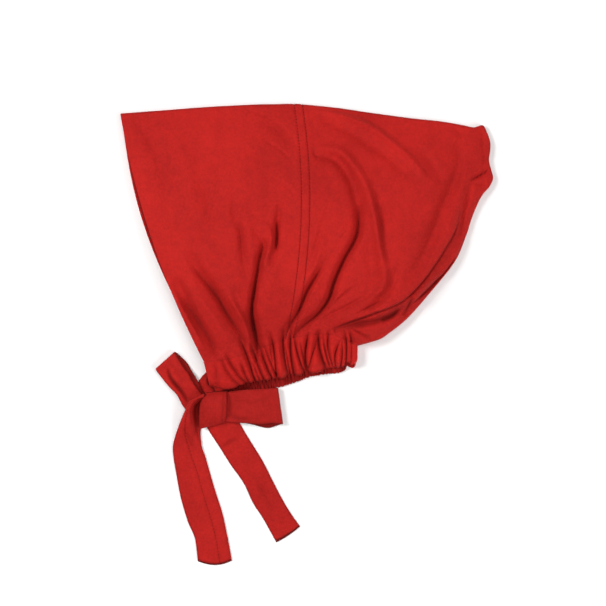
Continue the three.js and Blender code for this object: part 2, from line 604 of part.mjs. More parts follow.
// The lower strip's tie leaves the casing's front end and passes under the knot's upper corner.
function farTieRoot() {
  const foot = footLine(0);
  const edge = frontHem.clone().sub(foot);
  const outward = new THREE.Vector2(edge.y, -edge.x).normalize();
  const corner = fromKnot(KNOT_SECTIONS[0].left);
  const at = (plan, share) => {
    const place = plan.clone().addScaledVector(outward, GAP + share * TIE_WIDTH);
    return new THREE.Vector3(place.x, place.y, 0);
  };
  const under = new THREE.Vector2(0.02, -0.08).multiplyScalar(TIE_WIDTH);
  const startLeft = foot.clone().addScaledVector(edge, 0.42);
  const startRight = foot.clone().addScaledVector(edge, 0.98);
  const endLeft = corner.clone().add(under);
  const endRight = endLeft.clone().add(new THREE.Vector2(0.32 * TIE_WIDTH, 0));
  return loftSolid([
    stripRing(at(startLeft, 0), at(startRight, 0)),
    stripRing(at(startLeft.clone().lerp(endLeft, 0.35), 0.17), at(startRight.clone().lerp(endRight, 0.35), 0.05)),
    stripRing(at(startLeft.clone().lerp(endLeft, 0.65), 0.13), at(startRight.clone().lerp(endRight, 0.65), 0.04)),
    stripRing(at(endLeft, 0), at(endRight, 0)),
  ]);
}

function addPiece(group, name, geometry, color) {
  const material = new THREE.MeshStandardMaterial({ color, roughness: 0.9, metalness: 0 });
  const piece = new THREE.Mesh(geometry, material);
  piece.name = name;
  group.add(piece);
}

const cap = new THREE.Group();
addPiece(cap, 'front_panel', panel(34, 0, FRONT_FOLDS), JERSEY_RED);
addPiece(cap, 'crown_seam', crownSeam(), SEAM_RED);
addPiece(cap, 'back_panel', panel(50, 1, BACK_FOLDS), JERSEY_RED);
addPiece(cap, 'elastic_casing', elasticCasing(), JERSEY_RED);
addPiece(cap, 'near_tie_root', nearTieRoot(), TIE_RED);
addPiece(cap, 'far_tie_root', farTieRoot(), TIE_RED);
addPiece(cap, 'bow_knot', bowKnot(), TIE_RED);
addPiece(cap, 'bow_loop_left', bowLoop(LEFT_LOOP, LEFT_LOOP_LENGTH), TIE_RED);
addPiece(cap, 'bow_loop_right', bowLoop(RIGHT_LOOP, RIGHT_LOOP_LENGTH), TIE_RED);
addPiece(cap, 'tie_tail_left', tieTail(LEFT_TAIL, LEFT_TAIL_LENGTH), TIE_RED);
addPiece(cap, 'tie_tail_right', tieTail(RIGHT_TAIL, RIGHT_TAIL_LENGTH), TIE_RED);

// The origin goes under the middle of the whole object.
const span = new THREE.Box3().setFromObject(cap);
const middle = span.getCenter(new THREE.Vector3());
cap.position.set(-middle.x, -middle.y, -span.min.z);

export default cap;
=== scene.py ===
import math

import bpy
import mathutils
import numpy as np
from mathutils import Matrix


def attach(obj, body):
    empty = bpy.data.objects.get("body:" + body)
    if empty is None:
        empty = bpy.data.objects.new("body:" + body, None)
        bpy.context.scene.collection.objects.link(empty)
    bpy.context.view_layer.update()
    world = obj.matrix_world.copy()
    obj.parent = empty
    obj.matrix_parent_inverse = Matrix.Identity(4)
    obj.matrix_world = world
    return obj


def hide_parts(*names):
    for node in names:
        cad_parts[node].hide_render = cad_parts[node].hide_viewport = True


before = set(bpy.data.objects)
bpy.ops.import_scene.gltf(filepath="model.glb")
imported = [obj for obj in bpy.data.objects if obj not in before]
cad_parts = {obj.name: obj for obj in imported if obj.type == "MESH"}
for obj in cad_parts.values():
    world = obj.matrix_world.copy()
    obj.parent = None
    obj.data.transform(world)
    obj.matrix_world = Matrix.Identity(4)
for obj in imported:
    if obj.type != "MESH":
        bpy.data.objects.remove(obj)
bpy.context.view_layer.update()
mm = 0.001

# The cap's plan is given in shares of its length and depth, from the corner below.
cap = {
    "length": 310 * mm, "depth": 222 * mm, "corner": (-155.0 * mm, -30.7 * mm),
    "wall": 1.25 * mm, "billow": 16 * mm, "crownFold": 3 * mm, "seamShare": 0.25, "faceHemShare": 0.125,
    "farRimPeek": 3.8 * mm, "peekFrom": 0.20, "peekOver": 0.78,
    "reliefFrom": 0.5 * mm, "reliefTo": 6 * mm, "leastHeight": 3.4 * mm, "levelReach": 12 * mm,
    "frontColumns": 200, "backColumns": 240, "slitDark": 0.85, "foldDark": 0.35,
}
casing = {
    "frontHeight": 19 * mm, "backHeight": 13 * mm, "wall": 1.5 * mm, "joint": 0.16 * mm, "hemCurl": 4.5 * mm,
    "farGathers": 46, "farGatherDepth": 1.6 * mm, "endRounding": 0.24, "leastHeight": 5 * mm,
    "stripColumns": 330, "turnColumns": 15, "rows": 36, "frontFade": 60, "backFade": 40,
    "hemDark": 0.8, "farDark": 0.66, "valleyDark": 0.34,
}

seamBand = {
    "width": 6.8 * mm, "columns": 17, "joint": 0.05 * mm, "rim": 0.04 * mm, "rise": 0.25 * mm,
    "pull": 0.25 * mm, "pullWidth": 0.9 * mm, "rowAside": 3.46 * mm, "pitch": 2.65 * mm,
    "stitchLength": 1.45 * mm, "threadRadius": 0.25 * mm, "threadRise": 0.16 * mm,
}

# How far the far strip's hem shows below the near one: share along the casing, then mm
farPeek = np.array([
    (0.00, 1.2), (0.04, 4.2), (0.12, 6.0), (0.25, 7.0), (0.48, 7.6), (0.54, 6.4), (0.63, 4.6), (0.70, 3.0),
    (0.78, 2.9), (0.85, 3.2), (0.92, 3.9), (0.98, 2.9), (1.00, 1.6),
])

# One row for each ray of the cloth, from the face edge to the casing's back end, in thousandths:
# hem x, hem y, foot x, foot y, sideways bow, billow, roundness of the fold
rays = np.array([
    (243, -54, 227, 37, -27, 350, 0), (289, -65, 275, 41, -14, 700, 0), (337, -47, 324, 60, 0, 900, 0),
    (382, -37, 369, 82, 13, 1000, 0), (428, -26, 412, 103, 24, 1000, 0), (471, -17, 455, 122, 30, 1000, 0),
    (492, -11, 479, 129, 27, 1000, 0), (511, -7, 499, 134, 22, 1000, 0), (527, -4, 516, 136, 16, 1000, 0),
    (543, 0, 531, 138, 10, 1000, 0), (556, 3, 544, 138, 5, 1000, 0), (567, 5, 556, 137, 0, 1000, 0),
    (578, 8, 567, 135, 0, 1000, 0), (586, 10, 576, 133, 0, 950, 0), (592, 13, 584, 129, 0, 900, 0),
    (597, 14, 591, 125, 0, 850, 0), (601, 16, 597, 121, 0, 750, 50), (604, 19, 601, 118, 0, 600, 200),
    (606, 23, 605, 116, 0, 400, 450), (607, 26, 607, 115, 0, 200, 750), (608, 28, 609, 114, 0, 0, 1000),
]) / 1000

# Where each ray turns over at the crown, the tip or the back, in thousandths: ray share, x, y
rim = np.array([
    (0, 0, 965), (50, 107, 976), (100, 227, 989), (150, 348, 998), (200, 414, 1000), (250, 476, 1000), (300, 575, 987),
    (350, 674, 967), (400, 775, 948), (450, 861, 935), (500, 916, 922), (530, 948, 913), (550, 972, 921),
    (566, 984, 893), (583, 992.5, 856), (600, 992, 823), (617, 989, 790), (634, 995, 754), (650, 1000, 722),
    (666, 990, 690), (682, 972, 661), (700, 957, 621), (725, 941, 565), (750, 928, 508), (800, 898, 411),
    (850, 837, 303), (900, 771, 199), (950, 720, 141), (975, 692, 116.5), (1000, 636, 94),
]) / 1000

# Rise and fall of the upper layer along a ray: along, settle, billow
profile = np.array([
    (0.00, 0.00, 0.00), (0.03, 0.01, 0.05), (0.07, 0.05, 0.20), (0.13, 0.13, 0.44), (0.28, 0.36, 0.86),
    (0.48, 0.66, 1.00), (0.70, 0.88, 0.80), (0.88, 0.98, 0.36), (1.00, 1.00, 0.00),
])

# Folds of the upper layer: rise and width in mm, then a line from its top to its foot. Its points, like those of
# the next three tables, are pairs of x and y in thousandths of the plan.
folds = [
    (-3.4, 4.6, [187, 441, 214, 374, 251, 307, 283, 232, 316, 153, 340, 86]),
    (1.5, 3.6, [187, 333, 222, 265, 262, 183, 299, 105]), (1.3, 2.2, [289, 292, 316, 228, 340, 168, 353, 116]),
    (-3.2, 4.6, [150, 348, 182, 258, 214, 176, 243, 108, 262, 56]), (1.0, 1.6, [144, 303, 176, 217, 203, 150, 227, 79]),
    (-1.3, 3.2, [299, 617, 316, 550, 326, 501, 329, 445, 340, 378, 350, 310]),
    (-0.6, 4.0, [307, 677, 305, 617, 310, 564]), (0.6, 4.0, [340, 594, 348, 490, 361, 407]),
    (-4.0, 3.2, [390, 490, 377, 430, 369, 370, 361, 303, 353, 236, 356, 172, 364, 112, 372, 56]),
    (-3.4, 4.6, [350, 243, 358, 168, 366, 108, 374, 34]), (-1.5, 4.2, [321, 303, 334, 228, 353, 146]),
    (1.4, 2.2, [361, 542, 393, 535, 406, 497, 398, 449, 385, 393]),
    (-2.6, 2.5, [430, 624, 422, 564, 420, 505, 417, 452, 401, 389]),
    (-1.2, 2.6, [353, 531, 377, 493, 385, 460, 377, 407]), (0.9, 8.0, [417, 407, 406, 303, 398, 191]),
    (-0.5, 2.0, [318, 336, 310, 288, 324, 236]), (-0.5, 2.4, [380, 385, 382, 303, 380, 221]),
    (0.8, 2.6, [380, 183, 390, 123, 401, 71]), (-0.36, 1.5, [329, 979, 406, 942, 465, 860]),
    (-0.36, 1.5, [374, 871, 430, 822, 476, 751]), (-0.34, 1.5, [388, 721, 430, 703, 471, 650]),
    (-0.3, 2.0, [380, 628, 428, 617, 473, 561]), (-0.5, 3.2, [37, 938, 64, 893, 86, 826]),
    (-0.5, 6.5, [80, 766, 102, 654, 139, 490]), (0.4, 6.0, [203, 677, 230, 550, 246, 407]),
    (-0.4, 5.0, [262, 789, 273, 654, 270, 520]),
    (-2.8, 3.0, [594, 508, 564, 441, 535, 374, 505, 310, 487, 254, 471, 209, 447, 161, 436, 108]),
    (1.4, 2.8, [604, 550, 575, 471, 548, 404, 521, 318, 500, 258]),
    (0.8, 2.4, [551, 516, 529, 422, 503, 336, 479, 258]), (-0.8, 1.8, [556, 606, 537, 527, 524, 460, 511, 393]),
    (-2.9, 4.2, [519, 807, 572, 789, 604, 740, 626, 669, 636, 591, 636, 520, 615, 452]),
    (-3.8, 3.4, [639, 624, 636, 527, 620, 471, 596, 411, 572, 333, 559, 273, 532, 217, 492, 168, 465, 123]),
    (-1.3, 1.8, [679, 292, 636, 265, 602, 239, 556, 206, 511, 161]),
    (2.9, 3.6, [524, 826, 580, 822, 610, 789, 636, 740, 655, 688, 668, 628, 679, 564, 687, 497, 695, 430, 703, 370,
        701, 321, 684, 288, 652, 262]), (-1.9, 3.0, [687, 677, 695, 602, 698, 535, 703, 471, 714, 407]),
    (-1.7, 3.2, [743, 400, 725, 329, 706, 284, 679, 250, 642, 228]), (-1.0, 4.0, [658, 490, 668, 400, 674, 318]),
    (0.7, 2.0, [663, 284, 615, 258, 570, 221]),
    (2.3, 3.2, [519, 987, 588, 957, 634, 935, 679, 901, 719, 860, 759, 811, 791, 766, 824, 699]),
    (-1.1, 4.5, [545, 938, 615, 890, 663, 849, 717, 793, 765, 721]), (-0.8, 4.0, [797, 834, 834, 770, 864, 695]),
    (-2.3, 4.8, [904, 864, 909, 789, 901, 736, 880, 673, 858, 606, 842, 538, 824, 471, 799, 404, 762, 333]),
    (0.7, 6.0, [845, 714, 816, 583, 775, 460]), (1.1, 3.0, [930, 789, 917, 707, 898, 621, 872, 527]),
    (-2.0, 2.2, [941, 699, 928, 639, 917, 583, 906, 505]), (-0.5, 3.0, [890, 927, 904, 901, 920, 871]),
    (-0.5, 2.2, [971, 916, 973, 841, 976, 766]), (-1.3, 6.0, [70, 893, 107, 789, 128, 658, 150, 527]),
    (-1.2, 7.0, [227, 721, 241, 602, 230, 471]), (0.9, 6.0, [171, 826, 187, 714, 193, 587]),
    (-0.9, 5.0, [380, 938, 430, 897, 471, 826]), (-0.9, 1.5, [930, 703, 957, 699, 981, 703]),
    (-1.3, 6.5, [112, 460, 144, 355, 179, 236, 209, 116]),
]

# Creases are narrower than folds and V-shaped: depth and width in mm, then the points
creases = [
    (3.0, 1.7, [203, 381, 235, 329, 262, 277, 286, 217, 316, 153, 337, 97]),
    (2.2, 2.2, [171, 273, 195, 221, 222, 161, 246, 105, 257, 64]),
    (2.6, 1.5, [385, 467, 374, 415, 366, 348, 358, 284, 353, 221, 358, 153, 366, 93, 369, 41]),
    (2.0, 1.5, [420, 557, 420, 505, 417, 452]), (1.2, 1.6, [321, 557, 326, 490, 332, 407]),
    (1.9, 1.5, [551, 415, 524, 351, 497, 288, 479, 228, 455, 172, 439, 123]),
    (2.4, 1.5, [639, 617, 636, 557, 628, 490, 599, 415, 572, 329, 556, 265, 529, 213, 481, 157, 460, 116]),
    (1.3, 0.9, [631, 318, 604, 295, 583, 269, 564, 243]), (1.2, 0.8, [698, 265, 663, 239, 628, 217]),
    (0.5, 2.2, [893, 721, 866, 632, 842, 542, 824, 475]), (0.8, 1.3, [690, 624, 695, 557, 701, 475]),
    (3.2, 1.0, [995, 759, 973, 740, 955, 725, 936, 710]), (1.4, 1.2, [519, 834, 519, 811, 529, 793]),
    (4.2, 3.4, [759, 243, 730, 213, 690, 189, 647, 178, 604, 164, 572, 150]),
    (2.4, 2.4, [743, 232, 725, 206, 698, 191]), (2.4, 1.7, [861, 359, 829, 314, 797, 273]),
    (2.6, 2.0, [778, 273, 770, 243, 757, 209]), (1.5, 1.1, [615, 164, 639, 144, 671, 116]),
]

# Laps at the back, where the near cloth lies over a deeper fold: the lip's lift and its fading in mm, then its line
laps = [
    (2.6, 10, [906, 628, 901, 564, 888, 512, 866, 460, 842, 407, 813, 351, 783, 303, 754, 267, 722, 243, 679, 221,
        636, 198, 599, 179, 561, 157]),
    (1.9, 6, [925, 505, 920, 479, 904, 441, 882, 400, 858, 359, 829, 318, 797, 277, 770, 247]),
]

# Gathers of the near strip, which run up into the panels: depth and width in mm, then top, middle and hem
gathers = [
    (0.9, 1.2, [254, 41, 261, 0, 262, -56]), (1.6, 1.1, [273, 52, 285, 7, 321, -60]),
    (2.2, 1.0, [283, 71, 301, 19, 342, -60]), (2.0, 0.8, [321, 41, 334, -7, 348, -60]),
    (3.0, 1.0, [318, 131, 342, 49, 364, -56]), (2.6, 1.0, [348, 108, 364, 45, 390, -56]),
    (1.8, 0.8, [353, 41, 365, -4, 377, -52]), (3.0, 1.0, [369, 108, 388, 34, 409, -45]),
    (2.2, 0.8, [380, 105, 401, 41, 417, -19]), (2.6, 0.9, [401, 153, 413, 67, 420, -41]),
    (1.2, 0.7, [401, 93, 405, 64, 408, 34]), (3.2, 1.1, [436, 168, 437, 71, 451, -34]),
    (2.0, 0.8, [439, 97, 449, 37, 456, -34]), (3.8, 1.3, [457, 176, 456, 79, 467, -30]),
    (3.0, 0.9, [463, 146, 475, 64, 495, -22]), (2.2, 0.8, [479, 123, 491, 45, 499, -11]),
    (3.8, 1.1, [505, 153, 496, 71, 500, -11]), (2.2, 0.9, [529, 131, 515, 64, 504, 0]),
    (4.2, 1.5, [529, 161, 533, 86, 552, -7]), (2.8, 1.0, [540, 138, 551, 64, 564, -4]),
    (2.6, 0.9, [559, 161, 556, 90, 571, 4]), (2.4, 0.9, [591, 123, 575, 60, 579, 0]),
    (2.0, 0.8, [594, 123, 594, 60, 588, 0]), (2.6, 0.9, [599, 161, 606, 90, 602, 0]),
    (2.6, 1.0, [610, 168, 620, 97, 618, 0]),
]

# How much of each table's depth is carved, and how much painted shade it leaves on the cloth
carving = {
    "foldGain": 1.6, "foldDark": 0.05, "creaseGain": 1.4, "creaseDark": 0.28, "creaseMost": 0.8,
    "lapGain": 1.25, "lapLip": 0.8, "lapDrop": 1.8 * mm, "lapDark": 0.75,
    "gatherGain": 1.9, "gatherDark": 0.38, "gatherMost": 1.1,
}


def splineAt(rows, place):
    # A smooth line through the rows, read at places from 0 to 1.
    rows = np.asarray(rows, float)
    step = np.clip(place, 0, 1) * (len(rows) - 1)
    low = np.minimum(step.astype(int), len(rows) - 2)
    t = (step - low)[..., None]
    p0, p1, p2, p3 = (rows[np.clip(low + k, 0, len(rows) - 1)] for k in (-1, 0, 1, 2))
    v1, v2 = (p2 - p0) / 2, (p3 - p1) / 2
    return ((2 * p1 - 2 * p2 + v1 + v2) * t + (3 * p2 - 3 * p1 - 2 * v1 - v2)) * t * t + v1 * t + p1


def smoothStep(value, low=0.0, high=1.0):
    t = np.clip((value - low) / (high - low), 0, 1)
    return t * t * (3 - 2 * t)


def bell(value, width, middle=0.0, power=2):
    return np.exp(-((value - middle) / width) ** power)


def arch(share):
    # From 0 up to 1 and down to 0 again.
    return np.sin(math.pi * np.clip(share, 0, 1))


def unit(vectors):
    return vectors / np.maximum(np.linalg.norm(vectors, axis=-1, keepdims=True), 1e-12)


def onPlan(shares):
    return np.array(cap["corner"]) + np.asarray(shares) * (cap["length"], cap["depth"])


def rimAt(share):
    place = np.interp(share, rim[:, 0], np.linspace(0, 1, len(rim)))
    return onPlan(splineAt(rim[:, 1:], place))


def rayFacts(share):
    # Hem, foot, sideways bow, billow and roundness of the fold.
    row = splineAt(rays, share)
    hem, foot = onPlan(row[..., 0:2]), onPlan(row[..., 2:4])
    return hem, foot, row[..., 4] * cap["length"], row[..., 5], np.clip(row[..., 6], 0, 1)


footStart, footEnd = rayFacts(np.array([0.0, 1.0]))[1][:, 0]
profileLine = splineAt(profile, np.linspace(0, 1, 400))


def alongCasing(share):
    return (rayFacts(share)[1][..., 0] - footStart) / (footEnd - footStart)


def casingShare(along):
    # The ray that leaves the casing at each share of its length.
    table = np.linspace(0, 1, 2000)
    return np.interp(along, alongCasing(table), table)


def evenLength():
    # The rays' lengths without the notches of the rim, so that none of them creases the cloth along a ray.
    shares = np.linspace(0, 1, 501)
    toEnd = rimAt(shares) - rayFacts(shares)[1]
    length, heading = np.linalg.norm(toEnd, axis=-1), np.unwrap(np.arctan2(toEnd[:, 1], toEnd[:, 0]))
    swept = np.abs(np.gradient(heading)) + 1e-4
    weights = bell(heading[:, None] - heading, math.radians(8)) * swept
    return shares, weights @ length / weights.sum(1)


evenTable = evenLength()


def clothPlace(share, part):
    # The smooth form. part runs 0 to 1 along the upper layer, 1 to 2 round the fold, 2 to 3 back along the lower one.
    share, part = np.broadcast_arrays(np.asarray(share, float), np.asarray(part, float))
    foot, bow, billow, roundness = rayFacts(share)[1:]
    toEnd = rimAt(share) - foot
    length = np.linalg.norm(toEnd, axis=-1)
    sideways = np.stack([toEnd[..., 1], -toEnd[..., 0]], -1) / length[..., None]
    radius = cap["crownFold"] + (casing["backHeight"] / 2 - cap["crownFold"]) * roundness
    straight = length - radius
    narrowing = casing["backHeight"] - casing["frontHeight"]
    casingHeight = casing["frontHeight"] + narrowing * (foot[..., 0] - footStart) / (footEnd - footStart)
    stretch = length / np.interp(share, *evenTable) - 1
    reached = part * (1 + stretch * (1 - np.clip(part, 0, 1) ** 6))
    settle = np.interp(reached, profileLine[:, 0], profileLine[:, 1])
    bulge = np.interp(reached, profileLine[:, 0], profileLine[:, 2])
    turn = math.pi * np.clip(part - 1, 0, 1)
    upper, lower = part <= 1, part >= 2
    along = np.where(upper, straight * part, np.where(lower, straight * (3 - part), straight + radius * np.sin(turn)))
    raised = casingHeight + (2 * radius - casingHeight) * settle + cap["billow"] * billow * bulge
    height = np.where(upper, raised, radius + radius * np.cos(turn))
    step = along / length
    plan = foot + toEnd * step[..., None] + sideways * (bow * 4 * step * (1 - step))[..., None]
    peek = (1 - smoothStep(share / cap["faceHemShare"])) * smoothStep(part, 1.6, 2.3)
    peek = peek * arch((step - cap["peekFrom"]) / cap["peekOver"])
    plan[..., 0] -= cap["farRimPeek"] * peek
    return np.concatenate([plan, height[..., None]], -1)


def clothNormal(share, part):
    share, part = np.broadcast_arrays(np.asarray(share, float), np.asarray(part, float))
    reach = 0.002
    across = unit(clothPlace(np.minimum(share + reach, 1), part) - clothPlace(np.maximum(share - reach, 0), part))
    hem, foot = rayFacts(share)[:2]
    toEnd = unit(rimAt(share) - foot)
    level = np.stack([toEnd[..., 1], -toEnd[..., 0], np.zeros(share.shape)], -1)
    besideCasing = smoothStep(share, 0.95, 1)[..., None]
    across = across + (level - across) * besideCasing
    along = clothPlace(share, np.minimum(part + 4 * reach, 3)) - clothPlace(share, np.maximum(part - 4 * reach, 0))
    normal = unit(np.cross(across, along))
    fall = unit(hem - foot)
    down = np.concatenate([fall, np.zeros(share.shape + (1,))], -1)
    return unit(normal - down * besideCasing * (normal * down).sum(-1, keepdims=True))


def nearLine(points, spot, reach):
    # Distance to a line through points of the plan, the place along it and the side, positive on the left.
    points = onPlan(np.reshape(points, (-1, 2)) / 1000)
    line = splineAt(points, np.linspace(0, 1, 6 * len(points) - 5))
    near = ((spot > line.min(0) - reach) & (spot < line.max(0) + reach)).all(-1)
    run, start = line[1:] - line[:-1], line[:-1]
    gap = spot[near][:, None] - start
    along = np.clip((gap * run).sum(-1) / (run * run).sum(-1), 0, 1)
    gap = gap - along[..., None] * run
    distance = np.hypot(gap[..., 0], gap[..., 1])
    closest = distance.argmin(1)
    rows = np.arange(len(closest))
    gap = gap[rows, closest]
    found = np.stack([
        distance[rows, closest], (closest + along[rows, closest]) / len(run),
        np.sign(run[closest, 0] * gap[:, 1] - run[closest, 1] * gap[:, 0]),
    ])
    whole = np.zeros((3,) + spot.shape[:-1])
    whole[0] = 9
    whole[:, near] = found
    return whole


def clothRelief(spot):
    # How far the upper layer stands above or below its smooth form over the plan, and its painted shade, from 0 to 1.
    relief, paintedShade = np.zeros(spot.shape[:-1]), np.zeros(spot.shape[:-1])
    for rise, width, points in folds:
        distance, place = nearLine(points, spot, 3 * width * mm)[:2]
        shape = arch(place) ** 0.6 * bell(distance, width * mm)
        relief += carving["foldGain"] * rise * mm * shape
        paintedShade += max(-rise, 0) * carving["foldDark"] * shape
    for depth, width, points in creases:
        distance, place = nearLine(points, spot, 5 * width * mm)[:2]
        ends = arch(place) ** 0.6
        relief -= carving["creaseGain"] * depth * mm * ends * bell(distance, width * mm, power=1.25)
        dark = min(carving["creaseDark"] * depth, carving["creaseMost"])
        paintedShade += dark * ends * bell(distance, 0.8 * width * mm)
    for lift, reach, points in laps:
        distance, place, side = nearLine(points, spot, 3 * reach * mm)
        width = np.where(side < 0, reach, carving["lapLip"]) * mm
        fading = smoothStep(place, 0, 0.16) * smoothStep(1 - place, 0, 0.12)
        relief += carving["lapGain"] * lift * mm * fading * bell(distance, width)
        # Painted shadow in the pocket under the lap's lip.
        under = np.where(side < 0, 0, bell(distance / mm, 0.9, 1.0))
        relief -= carving["lapDrop"] * fading * under
        paintedShade += carving["lapDark"] * fading * under
    for depth, width, points in gathers:
        distance, place = nearLine(points, spot, 8 * width * mm)[:2]
        fading = smoothStep(place, 0, 0.45) ** 0.7
        shape = 0.5 * bell(distance, width * mm, power=1.3) + 0.5 * bell(distance, 2.5 * width * mm)
        relief -= carving["gatherGain"] * depth * mm * fading * shape
        dark = min(carving["gatherDark"] * depth, carving["gatherMost"])
        paintedShade += dark * fading * bell(distance, 0.85 * width * mm)
    return relief, np.clip(paintedShade, 0, 1)


def shareBeside(share, part, aside):
    # The ray that lies a distance beside another, measured across the cloth.
    reach = 0.004
    spread = np.linalg.norm(clothPlace(share + reach, part) - clothPlace(share - reach, part), axis=-1) / (2 * reach)
    return share + aside / spread


def addObject(name, data):
    made = bpy.data.objects.new(name, data)
    bpy.context.scene.collection.objects.link(made)
    return made


def dressed(piece, material, note=""):
    piece.data.materials.append(material)
    print(piece.name, len(piece.data.polygons) * 2, "triangles" + note)
    return piece


def asMesh(name, points, faces, maps):
    faces = np.asarray(faces)
    a, b, c = points[faces[:, 0]], points[faces[:, 1]], points[faces[:, 2]]
    d = points[faces[:, 3]]
    volume = (a * np.cross(b, c)).sum() + (a * np.cross(c, d)).sum()
    if volume < 0:
        faces = faces[:, ::-1]
    mesh = bpy.data.meshes.new(name)
    mesh.from_pydata(points.tolist(), [], faces.tolist())
    corners = np.empty(len(mesh.loops), np.int32)
    mesh.loops.foreach_get("vertex_index", corners)
    for k in range(maps.shape[1] // 2):
        layer = mesh.uv_layers.new(name=("clothMap", "paintedShadeMap", "seamMap")[k])
        layer.data.foreach_set("uv", maps[corners, 2 * k:2 * k + 2].astype(np.float32).ravel())
    mesh.polygons.foreach_set("use_smooth", np.ones(len(mesh.polygons), bool))
    mesh.validate()
    mesh.update()
    return addObject(name, mesh)


rounding = {"angles": (30, 60, 90), "holding": 0.12}


def clothSheet(name, outer, inner, maps, rims):
    # A closed sheet between two grids of points, with its four edges rounded by the reaches in rims.
    middle, half = (outer + inner) / 2, (outer - inner) / 2
    fade = np.ones(middle.shape[:2])
    for axis in (0, 1):
        for end in (0, -1):
            edge = np.take(middle, [end], axis)
            before = np.take(middle, [1 if end == 0 else -2], axis)
            outward = unit(edge - before)
            edgeHalf, edgeMaps, edgeFade = (np.take(grid, [end], axis) for grid in (half, maps, fade))
            reach = rims[2 * axis - end]
            strips = []
            for angle in rounding["angles"][::1 if end else -1]:
                turn = math.radians(angle)
                strips.append((edge + outward * reach * math.sin(turn), edgeHalf, edgeMaps, edgeFade * math.cos(turn)))
            grids = [middle, half, maps, fade]
            for k in range(4):
                added = [strip[k] for strip in strips]
                last, near = (np.take(grids[k], [place], axis) for place in ((0, 1) if end == 0 else (-1, -2)))
                rest = np.delete(grids[k], end, axis)
                holding = last + (near - last) * rounding["holding"]
                order = added + [last, holding, rest] if end == 0 else [rest, holding, last] + added
                grids[k] = np.concatenate(order, axis)
            middle, half, maps, fade = grids
    columns, rows = fade.shape
    top = (middle + half * fade[..., None]).reshape(-1, 3)
    bottom = (middle - half * fade[..., None]).reshape(-1, 3)
    number = np.arange(columns * rows).reshape(columns, rows)
    under = number + columns * rows
    under[0], under[-1], under[:, 0], under[:, -1] = number[0], number[-1], number[:, 0], number[:, -1]
    used = np.unique(np.concatenate([number.ravel(), under.ravel()]))
    renumber = np.zeros(2 * columns * rows, int)
    renumber[used] = np.arange(len(used))
    points = np.concatenate([top, bottom])[used]
    maps = maps.reshape(len(top), -1)
    flatMaps = np.concatenate([maps, maps])[used]
    quads = []
    for grid, flip in ((number, False), (under, True)):
        a, b, c, d = grid[:-1, :-1], grid[1:, :-1], grid[1:, 1:], grid[:-1, 1:]
        order = (a, d, c, b) if flip else (a, b, c, d)
        quads.append(np.stack([corner.ravel() for corner in order], 1))
    return asMesh(name, points, renumber[np.concatenate(quads)], flatMaps)


def clothMap(grid, paintedShade=0.0):
    # Lengths across and along a grid of points, which place the knit, then how much painted shade darkens the cloth.
    across = np.linalg.norm(np.diff(grid, axis=0), axis=-1).mean(1)
    along = np.linalg.norm(np.diff(grid, axis=1), axis=-1).mean(0)
    u = np.concatenate([[0], np.cumsum(across)])
    v = np.concatenate([[0], np.cumsum(along)])
    paintedShading = np.broadcast_to(paintedShade, grid.shape[:2])
    return np.stack([*np.meshgrid(u, v, indexing="ij"), paintedShading, paintedShading], -1)


def stations(count, weight):
    # Places from 0 to 1, closer together where the weight is high.
    fine = np.linspace(0, 1, 600)
    total = np.concatenate([[0], np.cumsum((weight(fine[1:]) + weight(fine[:-1])) / 2)])
    return np.interp(np.linspace(0, total[-1], count + 1), total, fine)


upperStations = stations(150, lambda p: 1 + 1.8 * np.exp(-p / 0.09) + 1.3 * np.exp(-((1 - p) / 0.22) ** 2))
clothParts = np.concatenate([upperStations[:-1], np.linspace(1, 2, 11)[:-1], np.linspace(2, 3, 27)])
print("tables ready,", len(clothParts), "stations along each ray")


class Reading:
    # Wraps a node's output, so that sums written in Python add Math nodes.
    def __init__(self, finish, socket):
        self.finish, self.socket = finish, socket

    def join(self, operation, first, second=0.0):
        return self.finish.node("ShaderNodeMath", {"operation": operation}, {0: first, 1: second})

    def __add__(self, other):
        return self.join("ADD", self, other)

    def __sub__(self, other):
        return self.join("SUBTRACT", self, other)

    def __rsub__(self, other):
        return self.join("SUBTRACT", other, self)

    def __mul__(self, other):
        return self.join("MULTIPLY", self, other)

    def __truediv__(self, other):
        return self.join("DIVIDE", self, other)

    def __pow__(self, other):
        return self.join("POWER", self, other)

    def __rtruediv__(self, other):
        return self.join("DIVIDE", other, self)

    __radd__, __rmul__ = __add__, __mul__

    def of(self, operation):
        return self.join(operation, self)


class Finish:
    # One material and its nodes.
    def __init__(self, name):
        self.material = bpy.data.materials.new(name)
        self.material.use_nodes = True
        self.nodes, self.links = self.material.node_tree.nodes, self.material.node_tree.links
        self.shader = next(n for n in self.nodes if n.type == "BSDF_PRINCIPLED")

    def node(self, kind, settings=None, sockets=None, read=0):
        made = self.nodes.new(kind)
        for key, value in (settings or {}).items():
            setattr(made, key, value)
        for key, value in (sockets or {}).items():
            self.put(made.inputs[key], value)
        return Reading(self, made.outputs[read])

    def put(self, socket, value):
        if isinstance(value, Reading):
            self.links.new(value.socket, socket)
        else:
            socket.default_value = value

    def set(self, **values):
        for key, value in values.items():
            self.put(self.shader.inputs[key.replace("_", " ")], value)

    def bump(self, height, depth, under=None):
        sockets = {"Strength": 1.0, "Distance": depth, "Height": height}
        return self.node("ShaderNodeBump", sockets={**sockets, "Normal": under} if under else sockets)

    def mixed(self, share, first, second):
        return self.node("ShaderNodeMix", {"data_type": "RGBA"}, {0: share, 6: first, 7: second}, 2)

    def noise(self, scale, detail, **sockets):
        place = self.node("ShaderNodeTexCoord", read="Object")
        return self.node("ShaderNodeTexNoise", sockets={"Vector": place, "Scale": scale, "Detail": detail, **sockets})

    def layer(self, name):
        # The two numbers that a mesh stores for each of its points.
        first = self.node("ShaderNodeSeparateXYZ", sockets={0: self.node("ShaderNodeUVMap", {"uv_map": name})})
        return first, Reading(self, first.socket.node.outputs[1])


